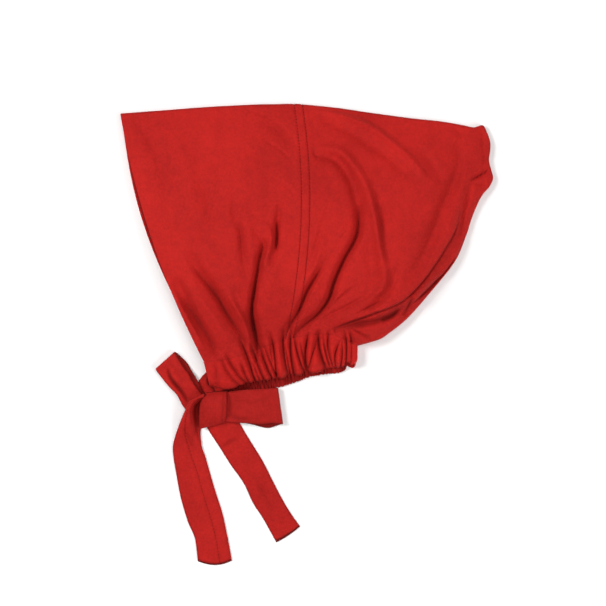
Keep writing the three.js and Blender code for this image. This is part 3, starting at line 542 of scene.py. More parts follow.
def needleHoles(finish):
    # Holes that the needle left between the stitches, along the two rows beside the seam.
    aside, along = finish.layer("seamMap")
    off = (aside - seamBand["rowAside"]) / (0.55 * mm)
    beat = 0.5 - (along / seamBand["pitch"] * (2 * math.pi)).of("COSINE") * 0.5
    return beat ** 2 / (1 + off * off * off * off)


def jersey(name, look, sewn=False):
    # Fine-knit jersey: wales and courses from the cloth's own map, soft mottling, a dull bloom on the surface.
    finish = Finish(name)
    across, along = finish.layer("clothMap")
    wale = (across / look["wale"]).of("FRACT")
    offCentre = (wale - 0.5).of("ABSOLUTE")
    leg = (wale * (2 * math.pi)).of("SINE").of("ABSOLUTE")
    chain = ((along / look["course"] + offCentre * 1.2) * (2 * math.pi)).of("SINE") * 0.5 + 0.5
    knit = leg ** 0.5 * (chain * 0.55 + 0.45)
    broad, fuzz = finish.noise(16, 3, Roughness=0.55), finish.noise(480, 3, Roughness=0.6)
    slub = finish.noise(130, 4, Roughness=0.7)
    tone = broad * 0.40 + slub * 0.25 + fuzz * 0.35 + (knit - 0.5) * look["knitTone"]
    share = finish.node("ShaderNodeMapRange", sockets={0: tone, 1: 0.36, 2: 0.64})
    colour = finish.mixed(share, look["dark"], look["light"])
    # Painted shade: the colour darkens towards the dark shade colour where the cloth lies in creases, gaps or under
    # other layers.
    paintedShading = finish.layer("paintedShadeMap")[0]
    colour = finish.mixed(paintedShading * look["paintedShadeShare"], colour, look["paintedShade"])
    normal = finish.bump(knit, look["knitDepth"])
    ripples = finish.noise(look["creaseScale"], 3, Roughness=0.5, Distortion=0.4)
    normal = finish.bump(ripples, look["creaseDepth"], normal)
    if sewn:
        holes = needleHoles(finish)
        # Painted shade in the needle holes: the colour is darkened a little towards dark red there.
        colour = finish.mixed(holes * 0.2, colour, (0.14, 0.003, 0.0025, 1))
        normal = finish.bump(1 - holes, 0.2 * mm, normal)
    finish.set(Base_Color=colour, Roughness=slub * 0.14 + look["roughness"], Normal=normal)
    finish.set(Sheen_Weight=look["sheen"], Sheen_Roughness=0.45, Sheen_Tint=(1.0, 0.40, 0.33, 1.0))
    finish.set(Specular_IOR_Level=0.12)
    return finish.material


# The darkest colour below is painted shade for creases, gaps and the cloth lying under other layers.
panelLook = {
    "dark": (0.350, 0.0085, 0.0070, 1), "light": (0.535, 0.0150, 0.0118, 1), "roughness": 0.66, "sheen": 0.04,
    "paintedShade": (0.115, 0.0030, 0.0024, 1), "paintedShadeShare": 0.72, "wale": 0.72 * mm, "course": 0.55 * mm,
    "knitDepth": 0.08 * mm, "knitTone": 0.14, "creaseScale": 34, "creaseDepth": 0.9 * mm,
}
panelJersey = jersey("panelJersey", panelLook, sewn=True)
seamJersey = jersey("seamJersey", {**panelLook, "creaseDepth": 0.4 * mm}, sewn=True)
casingLook = {
    "dark": (0.385, 0.0088, 0.0070, 1), "light": (0.575, 0.0155, 0.0120, 1),
    "creaseScale": 120, "creaseDepth": 0.3 * mm,
}
casingJersey = jersey("casingJersey", {**panelLook, **casingLook})
tieLook = {
    "dark": (0.345, 0.0085, 0.0068, 1), "light": (0.515, 0.0148, 0.0115, 1),
    "creaseScale": 55, "creaseDepth": 0.5 * mm,
}
tieJersey = jersey("tieJersey", {**panelLook, **tieLook})


def sewingThread():
    finish = Finish("sewingThread")
    twist = {"Vector": finish.node("ShaderNodeTexCoord", read="Object"), "Scale": 900, "Distortion": 1.5}
    ply = finish.node("ShaderNodeTexWave", {"bands_direction": "DIAGONAL"}, twist)
    colour = finish.mixed(finish.noise(260, 2), (0.10, 0.003, 0.0025, 1), (0.18, 0.006, 0.005, 1))
    finish.set(Base_Color=colour, Roughness=ply * 0.1 + 0.65, Specular_IOR_Level=0.1)
    finish.set(Normal=finish.node("ShaderNodeBump", sockets={"Strength": 0.8, "Distance": 0.04 * mm, "Height": ply}))
    return finish.material


threadFinish = sewingThread()


def seamAside(share, part):
    # Signed distance from the middle of the seam, across the cloth.
    reach = 0.002
    after, before = clothPlace(np.minimum(share + reach, 1), part), clothPlace(np.maximum(share - reach, 0), part)
    return (share - cap["seamShare"]) * np.linalg.norm(after - before, axis=-1) / (2 * reach)


def clothPair(share, part, extra=0.0):
    # Outer and inner points of the cloth, with its folds and the pull of the two rows of stitches.
    base, normal = clothPlace(share, part), clothNormal(share, part)
    fromRim = np.linalg.norm(base[..., :2] - rimAt(share), axis=-1)
    fading = smoothStep(fromRim, cap["reliefFrom"], cap["reliefTo"]) * (part < 1)
    relief, paintedShade = (field * fading for field in clothRelief(base[..., :2]))
    relief = np.maximum(relief, cap["leastHeight"] - base[..., 2])
    onRow = bell(np.abs(seamAside(share, part)), seamBand["pullWidth"], seamBand["rowAside"])
    pull = seamBand["pull"] * onRow * smoothStep(2.2 - part)
    outer = base + normal * (extra - pull)[..., None]
    outer[..., 2] += np.where(part < 1, relief, 0)
    fromFoot = np.linalg.norm(base - clothPlace(share, np.where(part < 1.5, 0.0, 3.0)), axis=-1)
    level = np.stack([0 * part, 0 * part, np.where(part < 1.5, 1.0, -1.0)], -1)
    across = level + (normal - level) * smoothStep(fromFoot, 0, cap["levelReach"])[..., None]
    # Painted shade in a narrow slit at the front of the face opening and along the turn of the crown fold.
    slit = smoothStep(share, 0.001, 0.005) * (1 - smoothStep(share, 0.05, 0.09)) * smoothStep(part, 1.9, 2.1)
    turned = smoothStep(part, 1.1, 1.35) * smoothStep(2 - part)
    paintedShade = np.clip(paintedShade + cap["slitDark"] * slit + cap["foldDark"] * turned, 0, 1)
    return outer, outer - unit(across) * cap["wall"], paintedShade


def rowPoints(side):
    # The line of one row of topstitching.
    part = clothParts[(clothParts > 0.004) & (clothParts < 2.96)]
    share = shareBeside(np.full(part.shape, cap["seamShare"]), part, side * seamBand["rowAside"])
    outer, inner = clothPair(share, part)[:2]
    return part, outer + unit(outer - inner) * seamBand["threadRise"]


def rowLength(side, part):
    place, line = rowPoints(side)
    length = np.concatenate([[0], np.cumsum(np.linalg.norm(np.diff(line, axis=0), axis=-1))])
    return np.interp(part, place, length)


def panelMaps(share, part, outer, paintedShade):
    # The knit's map with its painted shade, and the seam's: distance from its middle and length along its rows.
    aside = seamAside(share, part)
    across = np.clip(aside / (2 * seamBand["rowAside"]) + 0.5, 0, 1)
    along = rowLength(-1, part) * (1 - across) + rowLength(1, part) * across
    return np.concatenate([clothMap(outer, paintedShade), np.abs(aside)[..., None], along[..., None]], -1)


def makePanel(name, columns, end):
    clear = (seamBand["width"] / 2 + seamBand["joint"] + seamBand["rim"]) * (-1 if end == 0 else 1)
    edge = shareBeside(np.full((1, len(clothParts)), cap["seamShare"]), clothParts[None, :], clear)
    share = edge + (end - edge) * np.linspace(0, 1, columns + 1)[:, None]
    part = np.broadcast_to(clothParts[None, :], share.shape)
    outer, inner, paintedShade = clothPair(share, part)
    rims = (seamBand["rim"], 0.3 * mm, 0.05 * mm, 0.05 * mm)
    return dressed(clothSheet(name, outer, inner, panelMaps(share, part, outer, paintedShade), rims), panelJersey)


frontPanel = makePanel("frontPanel", cap["frontColumns"], 0)
backPanel = makePanel("backPanel", cap["backColumns"], 1)


def makeSeam():
    aside = np.linspace(-0.5, 0.5, seamBand["columns"])[:, None] * (seamBand["width"] - 2 * seamBand["rim"])
    part = np.broadcast_to(clothParts[None, :], (seamBand["columns"], len(clothParts)))
    share = shareBeside(np.full(part.shape, cap["seamShare"]), part, aside)
    puff = seamBand["rise"] * (1 - (2 * np.abs(aside) / seamBand["width"]) ** 4) * smoothStep(2.2 - part)
    outer, inner, paintedShade = clothPair(share, part, puff)
    rims = (seamBand["rim"], seamBand["rim"], 0.05 * mm, 0.05 * mm)
    return dressed(clothSheet("crownSeamBand", outer, inner, panelMaps(share, part, outer, paintedShade), rims), seamJersey)


crownSeamBand = makeSeam()
print("panels and seam ready")


def makeCasing():
    # A near strip, a rounded back end and a far strip that peeks out below.
    columns = casing["stripColumns"]
    strip, turn = np.linspace(0, 1, columns), np.linspace(1, 2, casing["turnColumns"])
    along = np.concatenate([strip, np.ones(len(turn)), strip[::-1]])
    part = np.concatenate([np.zeros(columns), turn, np.full(columns, 3.0)])[:, None]
    along, depthShare = along[:, None], np.linspace(0, 1, casing["rows"])[None, :] ** 0.85
    share = casingShare(along)
    hem, foot = rayFacts(share)[:2]
    fall = hem - foot
    near, far, end = part < 0.5, part > 2.5, (part >= 0.5) & (part <= 2.5)
    height = np.linalg.norm(fall, axis=-1)
    height = height * np.where(end, 1 - casing["endRounding"] * arch(part - 1) ** 2, 1)
    peek = np.interp(along, farPeek[:, 0], farPeek[:, 1]) * mm
    height = height + np.where(far, peek, peek * smoothStep(part, 1, 2))
    down = np.concatenate([unit(fall), np.zeros(share.shape + (1,))], -1)
    depth = casing["joint"] + (height - casing["joint"]) * depthShare
    base = clothPlace(share, part) + down * depth[..., None]
    turned = clothNormal(np.ones(share.shape), np.clip(part, 1, 2))
    outward = np.where(near[..., None], (0, 0, 1.0), np.where(far[..., None], (0, 0, -1.0), turned))
    outward = np.broadcast_to(outward, base.shape)
    atFront = smoothStep(along * casing["frontFade"])
    ends = atFront * smoothStep((1 - along) * casing["backFade"])
    turning = np.where(end, np.cos(math.pi / 2 * (part - 1)) ** 2, 1)
    gathered, paintedShade = clothRelief(base[..., :2])
    nearWave = gathered - casing["hemCurl"] * smoothStep(depthShare, 0.72, 1.1)
    turns = casing["farGathers"] * along
    farWave = np.abs(np.sin(math.pi * (turns + 0.25 * np.sin(turns * 1.3) + 0.1 * np.sin(turns * 2.9)))) ** 0.8 - 1
    farWave = casing["farGatherDepth"] * farWave * (0.4 + 0.6 * depthShare)
    wave = np.where(far, farWave * ends, nearWave * atFront * turning)
    pulledIn = np.where(far, 0.6 * farWave * ends, 0.3 * gathered * atFront * turning) * smoothStep(depthShare, 0.7, 1)
    outer = base + down * pulledIn[..., None] + outward * wave[..., None]
    outer[..., 2] = np.where(near, np.maximum(outer[..., 2], casing["leastHeight"]), outer[..., 2])
    inner = outer - outward * casing["wall"]
    # Painted shade: the far strip is darkened as if in the near strip's shadow, more in its gather valleys; the near
    # strip darkens in its gathers and along its hem.
    farPaintedShade = casing["farDark"] + casing["valleyDark"] * np.clip(-farWave / casing["farGatherDepth"], 0, 1)
    nearPaintedShade = np.maximum(paintedShade, casing["hemDark"] * smoothStep(depthShare, 0.93, 1.0)) * turning
    paintedShading = clothMap(outer, np.where(far, farPaintedShade, nearPaintedShade))
    rims = (0.5 * mm, 0.5 * mm, 0.05 * mm, 0.6 * mm)
    return dressed(clothSheet("elasticCasing", outer, inner, paintedShading, rims), casingJersey)


elasticCasing = makeCasing()


def tenths(*values):
    # Points of the plan in millimetres, from tenths.
    return np.reshape(values, (-1, 2)) / 10


# The ties. Heights and thicknesses are in millimetres, and creases are as in the panels' tables.
leftTail = {
    "left": tenths(-854, -494, -920, -523, -974, -556, -1007, -631, -1049, -730, -1094, -855, -1115, -946, -1107,
        -1046, -1086, -1170, -1049, -1365, -990, -1564, -932, -1705, -907, -1895),
    "right": tenths(-850, -519, -903, -544, -945, -581, -965, -639, -960, -722, -930, -822, -887, -909, -852,
        -1029, -812, -1166, -764, -1328, -710, -1498, -668, -1697, -632, -1889),
    "inside": tenths(-841, -539, -862, -564, -866, -597, -870, -647, -874, -714, -890, -809, -884, -910, -850,
        -1029, -811, -1166, -763, -1328, -709, -1498, -666, -1697, -630, -1889),
    "high": [11.6, 11.4, 10.8, 9.8, 7.0, 2.4, 0.7, 0.2, 0, 0, 0, 0, 0],
    "thickness": 2.0, "endBulge": 3.4, "flapAt": 0.3, "seamFrom": 22,
    "creases": [(1.0, 1.6, [168, -209, 179, -243, 193, -288]), (0.7, 1.4, [203, -224, 193, -262, 198, -303])],
}
rightTail = {
    "left": tenths(-862, -714, -816, -805, -721, -952, -630, -1095, -525, -1245, -446, -1411, -360, -1544, -254,
        -1734),
    "right": tenths(-613, -647, -547, -776, -470, -905, -373, -1062, -285, -1236, -202, -1394, -131, -1510, -63,
        -1606),
    "high": [0.0, 0, 0, 0, 0, 0, 0, 0],
    "thickness": 2.0, "endBulge": 0.8, "flapAt": 0, "seamFrom": 0,
    "creases": [(1.3, 1.7, [270, -292, 291, -269, 318, -250]), (0.6, 2.0, [353, -385, 380, -452, 414, -538])],
}
leftLoop = {
    "front": tenths(-999, -639, -858, -527, -1040, -577, -891, -485, -1076, -506, -924, -440, -1131, -450, -957,
        -390, -1185, -388, -986, -332, -1225, -334, -1036, -270, -1260, -286, -1112, -148),
    "back": tenths(-970, -639, -851, -514, -1007, -556, -883, -461, -1061, -485, -908, -405, -1115, -427, -935,
        -357, -1169, -369, -970, -303, -1212, -319, -1013, -231, -1252, -282, -1091, -153),
    "rootHigh": 8.6, "foldHigh": 6.6, "puff": 1.8, "lift": 2.4, "thickness": 1.6, "shade": 0.0,
    "creases": [
        (3.0, 1.25, [126, 11, 136, -26, 150, -52, 166, -79, 184, -116]),
        (-0.9, 1.8, [112, 0, 136, -49, 158, -82, 174, -120]), (0.5, 1.5, [128, 41, 150, 4, 171, -41]),
    ],
}
rightLoop = {
    "front": tenths(-667, -485, -671, -724, -597, -473, -597, -733, -514, -465, -514, -735, -431, -461, -439, -740,
        -365, -458, -373, -745, -303, -455, -286, -737, -240, -450, -201, -741),
    "back": tenths(-663, -494, -667, -722, -597, -481, -597, -730, -514, -477, -522, -737, -439, -473, -448, -752,
        -373, -469, -381, -772, -307, -465, -303, -780, -239, -456, -197, -749),
    "rootHigh": 9.0, "foldHigh": 6.8, "puff": 1.8, "lift": 2.4, "thickness": 1.6, "shade": 0.24,
    "creases": [(0.8, 2.0, [291, -161, 321, -179, 358, -179]), (0.4, 2.2, [297, -101, 348, -116, 396, -101])],
}


tieStrip = {"steps": 180, "columns": 36, "flapColumns": 16, "rim": 0.45 * mm, "under": 0.05}
# How much painted shade the ties get: in creases, at the turned end, along the edges, on the flap, along the stitching,
# and at most.
tieDark = {"dent": 0.35, "end": 1.35, "edge": 0.4, "flap": 0.55, "stitched": 0.2, "most": 1.35}
# Ripples of a tail: rise, length along it, slant across it and start
tailRipples = [(0.30, 7.3, 3.0, 0.0), (0.22, 3.9, -5.0, 1.3), (0.18, 2.1, 9.0, 0.0)]


def gridNormal(grid):
    return unit(np.cross(np.gradient(grid, axis=0), np.gradient(grid, axis=1)))


def withHeight(plan, height):
    return np.concatenate([plan * mm, (height * mm)[..., None]], -1)


def creaseDepth(creases, plan):
    depth = np.zeros(plan.shape[:-1])
    for drop, width, points in creases:
        distance, place = nearLine(points, plan * mm, 4 * width * mm)[:2]
        depth += drop * arch(place) ** 0.6 * bell(distance, width * mm, power=1.6)
    return depth


def makeTail(name, tail):
    steps, columns = tieStrip["steps"], tieStrip["columns"]
    place = np.linspace(0, 1, steps)
    left, right = splineAt(tail["left"], place), splineAt(tail["right"], place)
    high = np.maximum(splineAt(np.array(tail["high"])[:, None], place), 0)
    t = np.linspace(0, 1, columns)[None, :]
    edge = np.abs(2 * t - 1)
    plan = left[:, None] + (right - left)[:, None] * t[..., None]
    heading = unit(left[-1] + right[-1] - left[-12] - right[-12])
    plan = plan + heading * (tail["endBulge"] * smoothStep(place, 0.9, 1)[:, None] * (1 - (2 * t - 1) ** 2))[..., None]
    pillow = 1 - edge ** 4
    length = np.concatenate([[0], np.cumsum(np.linalg.norm(np.diff((left + right) / 2, axis=0), axis=-1))])[:, None]
    whole = length[-1]
    ripple = sum(rise * np.sin(length / wave + slant * t + start) for rise, wave, slant, start in tailRipples)
    ripple = (ripple + 0.7) * (0.35 + 0.65 * pillow)
    turnedEnd = 1.5 * smoothStep(length, whole - 1.9, whole)
    upper = high + tail["thickness"] * (0.5 + 0.5 * pillow) + 0.45 * ripple - turnedEnd
    dent = creaseDepth(tail["creases"], plan)
    upper = upper - dent
    # Painted shade in the creases, at the turned end and along the edges; below, also along the stitched line.
    paintedShade = tieDark["dent"] * dent + tieDark["end"] * smoothStep(length, whole - 2.1, whole - 0.7)
    paintedShade = np.clip(paintedShade + tieDark["edge"] * smoothStep(edge, 0.86, 1), 0, tieDark["most"])
    seamAt = 0.45 + 0.2 * smoothStep(length, 18, 85)
    if tail["seamFrom"]:
        stitched = bell((t - seamAt) * 28, 0.9) * smoothStep(length, tail["seamFrom"], tail["seamFrom"] + 8)
        upper = upper - 0.55 * stitched
        paintedShade = np.clip(paintedShade + tieDark["stitched"] * stitched, 0, tieDark["most"])
    upper = np.maximum(upper, high + 0.8)
    lower = high + tieStrip["under"] + np.zeros(t.shape)
    if tail["flapAt"]:
        drop = np.linspace(0, 1, tieStrip["flapColumns"] + 1)[None, 1:]
        inside = splineAt(tail["inside"], place)
        plan = np.concatenate([plan, right[:, None] + (inside - right)[:, None] * drop[..., None]], 1)
        # Painted shade on the flap where it falls into the slit beside the knot.
        fall = smoothStep(drop, 0, 0.45) * smoothStep(high, 0, 2)
        paintedShade = np.concatenate([paintedShade, tieDark["flap"] * fall], 1)
        upper = np.concatenate([upper, upper[:, -1:] + (tail["flapAt"] + 1.2 - upper[:, -1:]) * fall], 1)
        lower = np.concatenate([lower, lower[:, -1:] + (tail["flapAt"] - lower[:, -1:]) * fall], 1)
    outer, inner = withHeight(plan, upper), withHeight(plan, lower)
    piece = clothSheet(name, outer, inner, clothMap(outer, paintedShade), (tieStrip["rim"],) * 4)
    dressed(piece, tieJersey, ", length %.1f mm" % whole[0])
    column = seamAt[:, 0] * (columns - 1)
    low, row = column.astype(int), np.arange(steps)
    nearby = (column - low)[:, None]
    return piece, outer[row, low] * (1 - nearby) + outer[row, low + 1] * nearby


# The loops' form; the Dark values are how much painted shade they get.
loopForm = {
    "inwards": 0.55, "droop": 0.9, "ripple": 0.35, "rim": 0.5 * mm, "outerFloor": 0.02 * mm, "innerFloor": 0.3 * mm,
    "dentDark": 0.45, "underDark": 0.6, "edgeDark": 0.35, "mostDark": 1.3,
}


def makeLoop(name, loop):
    # A strip out from the knot, over a soft fold and back underneath.
    part = np.concatenate([np.linspace(0, 1, 61)[:-1], np.linspace(1, 2, 19)[:-1], np.linspace(2, 3, 61)])
    out = np.where(part <= 1, part, np.where(part >= 2, 3 - part, 1.0))
    edges = []
    for side in (0, 1):
        front, back = splineAt(loop["front"][side::2], out), splineAt(loop["back"][side::2], out)
        edges.append(front + (back - front) * smoothStep(part, 1, 2)[:, None])
    before, after = sum(splineAt(loop["front"][side::2], np.array([0.9, 1.0])) for side in (0, 1))
    heading = unit(after - before)
    turn = math.pi * np.clip(part - 1, 0, 1)
    t = np.linspace(0, 1, tieStrip["columns"])[None, :]
    radius = loop["foldHigh"] / 2
    plan = edges[0][:, None] + (edges[1] - edges[0])[:, None] * t[..., None]
    inwards = -radius * loopForm["inwards"] * (1 - np.sin(turn)) * smoothStep(out, 0.6, 1)
    plan = plan + heading * inwards[:, None, None]
    top = loop["rootHigh"] + (loop["foldHigh"] - loop["rootHigh"]) * out + loop["puff"] * arch(out) ** 3
    bottom = loop["lift"] * (1 - smoothStep(out, 0.35, 0.8))
    level = np.where(part <= 1, top, np.where(part >= 2, bottom, radius + radius * np.cos(turn)))
    edge, onTop = np.abs(2 * t - 1), (part <= 1)[:, None]
    droop = -loopForm["droop"] * edge ** 4 * onTop * smoothStep(1 - out, 0, 0.3)[:, None]
    ripple = loopForm["ripple"] * np.sin(9 * out[:, None] + 4 * t) * onTop * arch(out)[:, None]
    dent = creaseDepth(loop["creases"], plan) * onTop
    outer = withHeight(plan, level[:, None] + droop + ripple - dent)
    normal = gridNormal(outer)
    if normal[10, 18, 2] < 0:
        normal = -normal
    inner = outer - normal * loop["thickness"] * mm
    outer[..., 2] = np.maximum(outer[..., 2], loopForm["outerFloor"])
    inner[..., 2] = np.maximum(inner[..., 2], loopForm["innerFloor"])
    # Painted shade: an overall share for each loop, more in its creases, on the underside after the fold and along the
    # edges.
    paintedShade = loop["shade"] + loopForm["dentDark"] * dent + loopForm["underDark"] * (part > 1.35)[:, None]
    paintedShade = np.clip(paintedShade + loopForm["edgeDark"] * smoothStep(edge, 0.88, 1), 0, loopForm["mostDark"])
    return dressed(clothSheet(name, outer, inner, clothMap(outer, paintedShade), (loopForm["rim"],) * 4), tieJersey)


tieTailLeft, leftTailSeam = makeTail("tieTailLeft", leftTail)
tieTailRight = makeTail("tieTailRight", rightTail)[0]
bowLoopLeft = makeLoop("bowLoopLeft", leftLoop)
bowLoopRight = makeLoop("bowLoopRight", rightLoop)

# The knot: sections from its upper to its lower edge, left and right on the plan, lowest and highest point. Its
# rolls are in its upper side: rise in mm, then place and width as shares of the knot's own width.
knot = {
    "left": tenths(-833, -485, -862, -523, -884, -573, -892, -639, -894, -714, -892, -792),
    "right": tenths(-661, -473, -655, -514, -655, -581, -658, -647, -663, -697, -671, -737),
    "low": [3.4, 2.7, 2.6, 2.6, 2.6, 2.7], "high": [10.4, 13.0, 13.8, 13.4, 10.8, 5.6],
    "rolls": [(0.9, 0.93, 0.045), (-0.7, 0.84, 0.035), (0.5, 0.08, 0.05)],
    "steps": 90, "sides": 96, "around": 60 * mm, "down": 33 * mm, "shade": 0.16,
}


def makeKnot():
    steps, sides = knot["steps"], knot["sides"]
    place = np.linspace(0, 1, steps)
    left, right = splineAt(knot["left"], place), splineAt(knot["right"], place)
    low, high = (splineAt(np.array(knot[key])[:, None], place)[:, 0] for key in ("low", "high"))
    angle = np.linspace(0, 2 * math.pi, sides, endpoint=False)
    across = 0.5 - 0.5 * np.sign(np.cos(angle)) * np.abs(np.cos(angle)) ** 0.42
    lift = 0.5 + 0.5 * np.sign(np.sin(angle)) * np.abs(np.sin(angle)) ** 0.55
    ends = np.sqrt(np.clip(1 - np.clip((np.abs(2 * place - 1) - 0.90) / 0.10, 0, 1) ** 2, 0, 1))
    middle = (left + right) / 2
    plan = middle[:, None] + (right - left)[:, None] * (across[None, :, None] - 0.5) * (0.9 + 0.1 * ends)[:, None, None]
    height = low[:, None] + (high - low)[:, None] * (0.5 + (lift[None] - 0.5) * (0.35 + 0.65 * ends)[:, None])
    upper = (np.sin(angle) > 0.2)[None]
    rolled = sum(rise * bell(across, width, at) for rise, at, width in knot["rolls"])
    tucks = 0.35 * np.sin(across * 15 + 2.2 * place[:, None]) * arch(place)[:, None] ** 0.5
    height = height + np.where(upper, rolled[None] * smoothStep(arch(place))[:, None] + tucks, 0)
    grid = withHeight(plan, height)
    points = grid.reshape(-1, 3)
    number = np.arange(steps * sides).reshape(steps, sides)
    beside = np.roll(number, -1, 1)
    quads = np.stack([number[:-1], beside[:-1], beside[1:], number[1:]], -1).reshape(-1, 4)
    caps = []
    half = sides // 2
    for ring, flip in ((number[0], True), (number[-1], False)):
        for k in range(half - 1):
            quad = [ring[k], ring[k + 1], ring[sides - 2 - k], ring[sides - 1 - k]]
            caps.append(quad[::-1] if flip else quad)
    around = np.linspace(0, knot["around"], sides)[None].repeat(steps, 0)
    down = np.linspace(0, knot["down"], steps)[:, None].repeat(sides, 1)
    # Painted shade: an overall share on the upper side, a dark line beside the rolled edge and more at the right edge,
    # where the knot meets the loop.
    paintedShading = (knot["shade"] + 0.3 * bell(across, 0.03, 0.84) + 0.6 * smoothStep(across, 0.95, 0.985)) * upper
    paintedShading = paintedShading * np.ones(around.shape)
    maps = np.stack([around, down, paintedShading, paintedShading], -1).reshape(-1, 4)
    return dressed(asMesh("bowKnot", points, np.concatenate([quads, np.array(caps)]), maps), tieJersey)


bowKnot = makeKnot()

roots = {
    "near": {
        "left": tenths(-779, -373, -771, -423, -758, -473), "right": tenths(-705, -365, -696, -423, -671, -461),
        "high": [11.6, 11.2, 7.6], "thickness": 1.8,
    },
    "far": {
        "left": tenths(-834, -314, -870, -353, -901, -402, -895, -452, -862, -500),
        "right": tenths(-827, -319, -824, -369, -804, -423, -746, -461, -742, -498),
        "high": [0.0, 0, 0, 0, 0], "thickness": 1.9,
    },
    "steps": 40, "columns": 24, "dark": 1.3,
}


def makeRoot(name, root):
    place = np.linspace(0, 1, roots["steps"])
    left, right = splineAt(root["left"], place), splineAt(root["right"], place)
    high = splineAt(np.array(root["high"])[:, None], place)
    t = np.linspace(0, 1, roots["columns"])[None, :]
    plan = left[:, None] + (right - left)[:, None] * t[..., None]
    pillow = 1 - np.abs(2 * t - 1) ** 4
    upper = high + root["thickness"] * (0.6 + 0.4 * pillow) + 0.25 * np.sin(place[:, None] * 6 + t * 7)
    outer = withHeight(plan, upper)
    # Painted shade towards the root's right side, in the slit at the casing's front end, and a little at its left edge.
    paintedShade = roots["dark"] * smoothStep(t, 0.55, 0.85) + 0.4 * smoothStep(0.14 - t, 0, 0.14)
    inner = withHeight(plan, high + tieStrip["under"] + 0 * t)
    return dressed(clothSheet(name, outer, inner, clothMap(outer, paintedShade), (0.4 * mm,) * 4), tieJersey)


nearTieRoot = makeRoot("nearTieRoot", roots["near"])
farTieRoot = makeRoot("farTieRoot", roots["far"])
print("ties and bow ready")


# The shortest and longest stitch, as shares of its length
unevenness = (0.90, 1.06)


def stitchTree():
    # Stitches along a line: short rounded lengths of thread, a little uneven.
    tree = bpy.data.node_groups.new("stitchRow", "GeometryNodeTree")
    tree.is_modifier = True
    face = tree.interface
    face.new_socket("Line", in_out="INPUT", socket_type="NodeSocketGeometry")
    for label in ("Pitch", "Stitch Length", "Thread Radius"):
        face.new_socket(label, in_out="INPUT", socket_type="NodeSocketFloat")
    face.new_socket("Seed", in_out="INPUT", socket_type="NodeSocketInt")
    face.new_socket("Thread", in_out="INPUT", socket_type="NodeSocketMaterial")
    face.new_socket("Stitches", in_out="OUTPUT", socket_type="NodeSocketGeometry")

    def add(kind, settings=None, **sockets):
        node = tree.nodes.new(kind)
        for key, value in (settings or {}).items():
            setattr(node, key, value)
        for key, value in sockets.items():
            socket = node.inputs[key.replace("_", " ")]
            if isinstance(value, bpy.types.NodeSocket):
                tree.links.new(value, socket)
            else:
                socket.default_value = value
        return node

    given = add("NodeGroupInput").outputs
    curve = add("GeometryNodeMeshToCurve", Mesh=given["Line"])
    spots = add("GeometryNodeCurveToPoints", {"mode": "LENGTH"}, Curve=curve.outputs[0], Length=given["Pitch"])
    bead = add("GeometryNodeMeshUVSphere", Segments=8, Rings=6, Radius=1.0)
    bead = add("GeometryNodeSetShadeSmooth", Geometry=bead.outputs[0])
    uneven = add("FunctionNodeRandomValue", {"data_type": "FLOAT"}, Seed=given["Seed"])
    uneven.inputs[2].default_value, uneven.inputs[3].default_value = unevenness
    length, half = (add("ShaderNodeMath", {"operation": "MULTIPLY"}) for k in range(2))
    tree.links.new(given["Stitch Length"], length.inputs[0])
    tree.links.new(uneven.outputs[1], length.inputs[1])
    tree.links.new(length.outputs[0], half.inputs[0])
    half.inputs[1].default_value = 0.5
    size = add("ShaderNodeCombineXYZ", X=given["Thread Radius"], Y=given["Thread Radius"], Z=half.outputs[0])
    where = {"Points": spots.outputs["Points"], "Rotation": spots.outputs["Rotation"]}
    placed = add("GeometryNodeInstanceOnPoints", Instance=bead.outputs[0], Scale=size.outputs[0], **where)
    whole = add("GeometryNodeRealizeInstances", Geometry=placed.outputs[0])
    finished = add("GeometryNodeSetMaterial", Geometry=whole.outputs[0], Material=given["Thread"])
    result = add("NodeGroupOutput")
    tree.links.new(finished.outputs[0], result.inputs[0])
    return tree


stitchRow = stitchTree()


def sewAlong(name, lines, **sizes):
    mesh = bpy.data.meshes.new(name + "Line")
    points, edges = [], []
    for line in lines:
        start = len(points)
        points += [tuple(point) for point in line]
        edges += [(start + k, start + k + 1) for k in range(len(line) - 1)]
    mesh.from_pydata(points, edges, [])
    carrier = addObject(name + "Line", mesh)
    modifier = carrier.modifiers.new("stitches", "NODES")
    modifier.node_group = stitchRow
    sockets = {item.name: item.identifier for item in stitchRow.interface.items_tree if item.in_out == "INPUT"}
    for label, value in {**sizes, "Thread": threadFinish}.items():
        modifier[sockets[label.replace("_", " ")]] = value
    graph = bpy.context.evaluated_depsgraph_get()
    made = bpy.data.meshes.new_from_object(carrier.evaluated_get(graph), depsgraph=graph)
    made.name = name
    bpy.data.objects.remove(carrier)
    print(name, len(made.polygons), "faces")
    return addObject(name, made)


seamSizes = {
    "Pitch": seamBand["pitch"], "Stitch_Length": seamBand["stitchLength"], "Thread_Radius": seamBand["threadRadius"],
}
seamStitches = sewAlong("seamStitches", [rowPoints(-1)[1], rowPoints(1)[1]], **seamSizes, Seed=4)
tailMiddle = leftTailSeam[44:-3] + np.array([0, 0, seamBand["threadRise"]])
tailSizes = {"Pitch": 2.7 * mm, "Stitch_Length": 1.4 * mm, "Thread_Radius": 0.2 * mm}
tailStitches = sewAlong("tailStitches", [tailMiddle], **tailSizes, Seed=9)
print("stitches ready")

# The floor, the light and the camera
ground = {"reach": 3.0, "level": -0.25 * mm, "dark": (0.95, 0.95, 0.95, 1), "light": (0.97, 0.97, 0.97, 1)}
floorMesh = bpy.data.meshes.new("floor")
corners = [(x * ground["reach"], y * ground["reach"], ground["level"]) for x, y in ((-1, -1), (1, -1), (1, 1), (-1, 1))]
floorMesh.from_pydata(corners, [], [(0, 1, 2, 3)])
floor = addObject("floor", floorMesh)
paleFloor = Finish("paleFloor")
floorTone = paleFloor.mixed(paleFloor.noise(9, 3), ground["dark"], ground["light"])
paleFloor.set(Base_Color=floorTone, Roughness=0.8, Specular_IOR_Level=0.1)
floorMesh.materials.append(paleFloor.material)

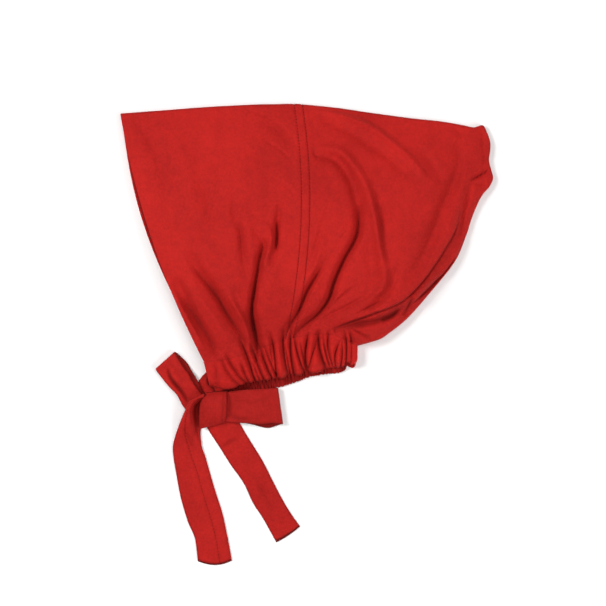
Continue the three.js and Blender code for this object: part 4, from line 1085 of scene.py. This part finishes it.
lamps = [
    # name, place, size, watts, colour
    ("keySoftbox", (-1.42, 0.52, 1.55), 0.8, 32, (1.0, 0.99, 0.98)),
    ("overheadSoftbox", (0.15, 0.15, 1.95), 0.9, 13, (1.0, 1.0, 1.0)),
    ("rightFill", (1.25, -0.75, 1.2), 1.1, 17, (1.0, 1.0, 1.0)),
]
lampTarget = (0, 0.03, 0)
for name, place, size, watts, colour in lamps:
    lamp = bpy.data.lights.new(name, "AREA")
    lamp.shape, lamp.size, lamp.energy, lamp.color = "SQUARE", size, watts, colour
    holder = addObject(name, lamp)
    holder.location = place
    aim = np.array(lampTarget) - np.array(place)
    holder.rotation_mode = "QUATERNION"
    holder.rotation_quaternion = mathutils.Vector(aim).to_track_quat("-Z", "Y")
surround = {"colour": (1.0, 1.0, 1.0, 1), "strength": 0.12}
world = bpy.data.worlds.new("studio")
world.use_nodes = True
for k, key in enumerate(("colour", "strength")):
    world.node_tree.nodes["Background"].inputs[k].default_value = surround[key]
bpy.context.scene.world = world
bpy.context.scene.view_settings.view_transform = "Standard"

view = {"lens": 90.0, "sensor": 36.0, "width": 502.6 * mm, "centre": (-3.3 * mm, 25.7 * mm), "level": 8 * mm}
lens = bpy.data.cameras.new("photoView")
lens.lens, lens.sensor_width, lens.dof.use_dof = view["lens"], view["sensor"], False
camera = addObject("photoView", lens)
camera.location = (*view["centre"], view["level"] + view["width"] * view["lens"] / view["sensor"])
lens.clip_start, lens.clip_end = 0.05, 20
bpy.context.scene.camera = camera

# Each piece rides on the root and hides the part it stands for; the last column names a finish that is not read
pieces = [
    (frontPanel, "front_panel", "panel_jersey"), (crownSeamBand, "crown_seam", "seam_jersey"),
    (backPanel, "back_panel", "panel_jersey"), (elasticCasing, "elastic_casing", "casing_jersey"),
    (nearTieRoot, "near_tie_root", "tie_jersey"), (farTieRoot, "far_tie_root", "tie_jersey"),
    (bowKnot, "bow_knot", "tie_jersey"), (bowLoopLeft, "bow_loop_left", "tie_jersey"),
    (bowLoopRight, "bow_loop_right", "tie_jersey"), (tieTailLeft, "tie_tail_left", "tie_jersey"),
    (tieTailRight, "tie_tail_right", "tie_jersey"), (seamStitches, None, "seam_jersey"),
    (tailStitches, None, "tie_jersey"),
]
for piece, node, slot in pieces:
    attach(piece, "root")
    if node:
        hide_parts(node)
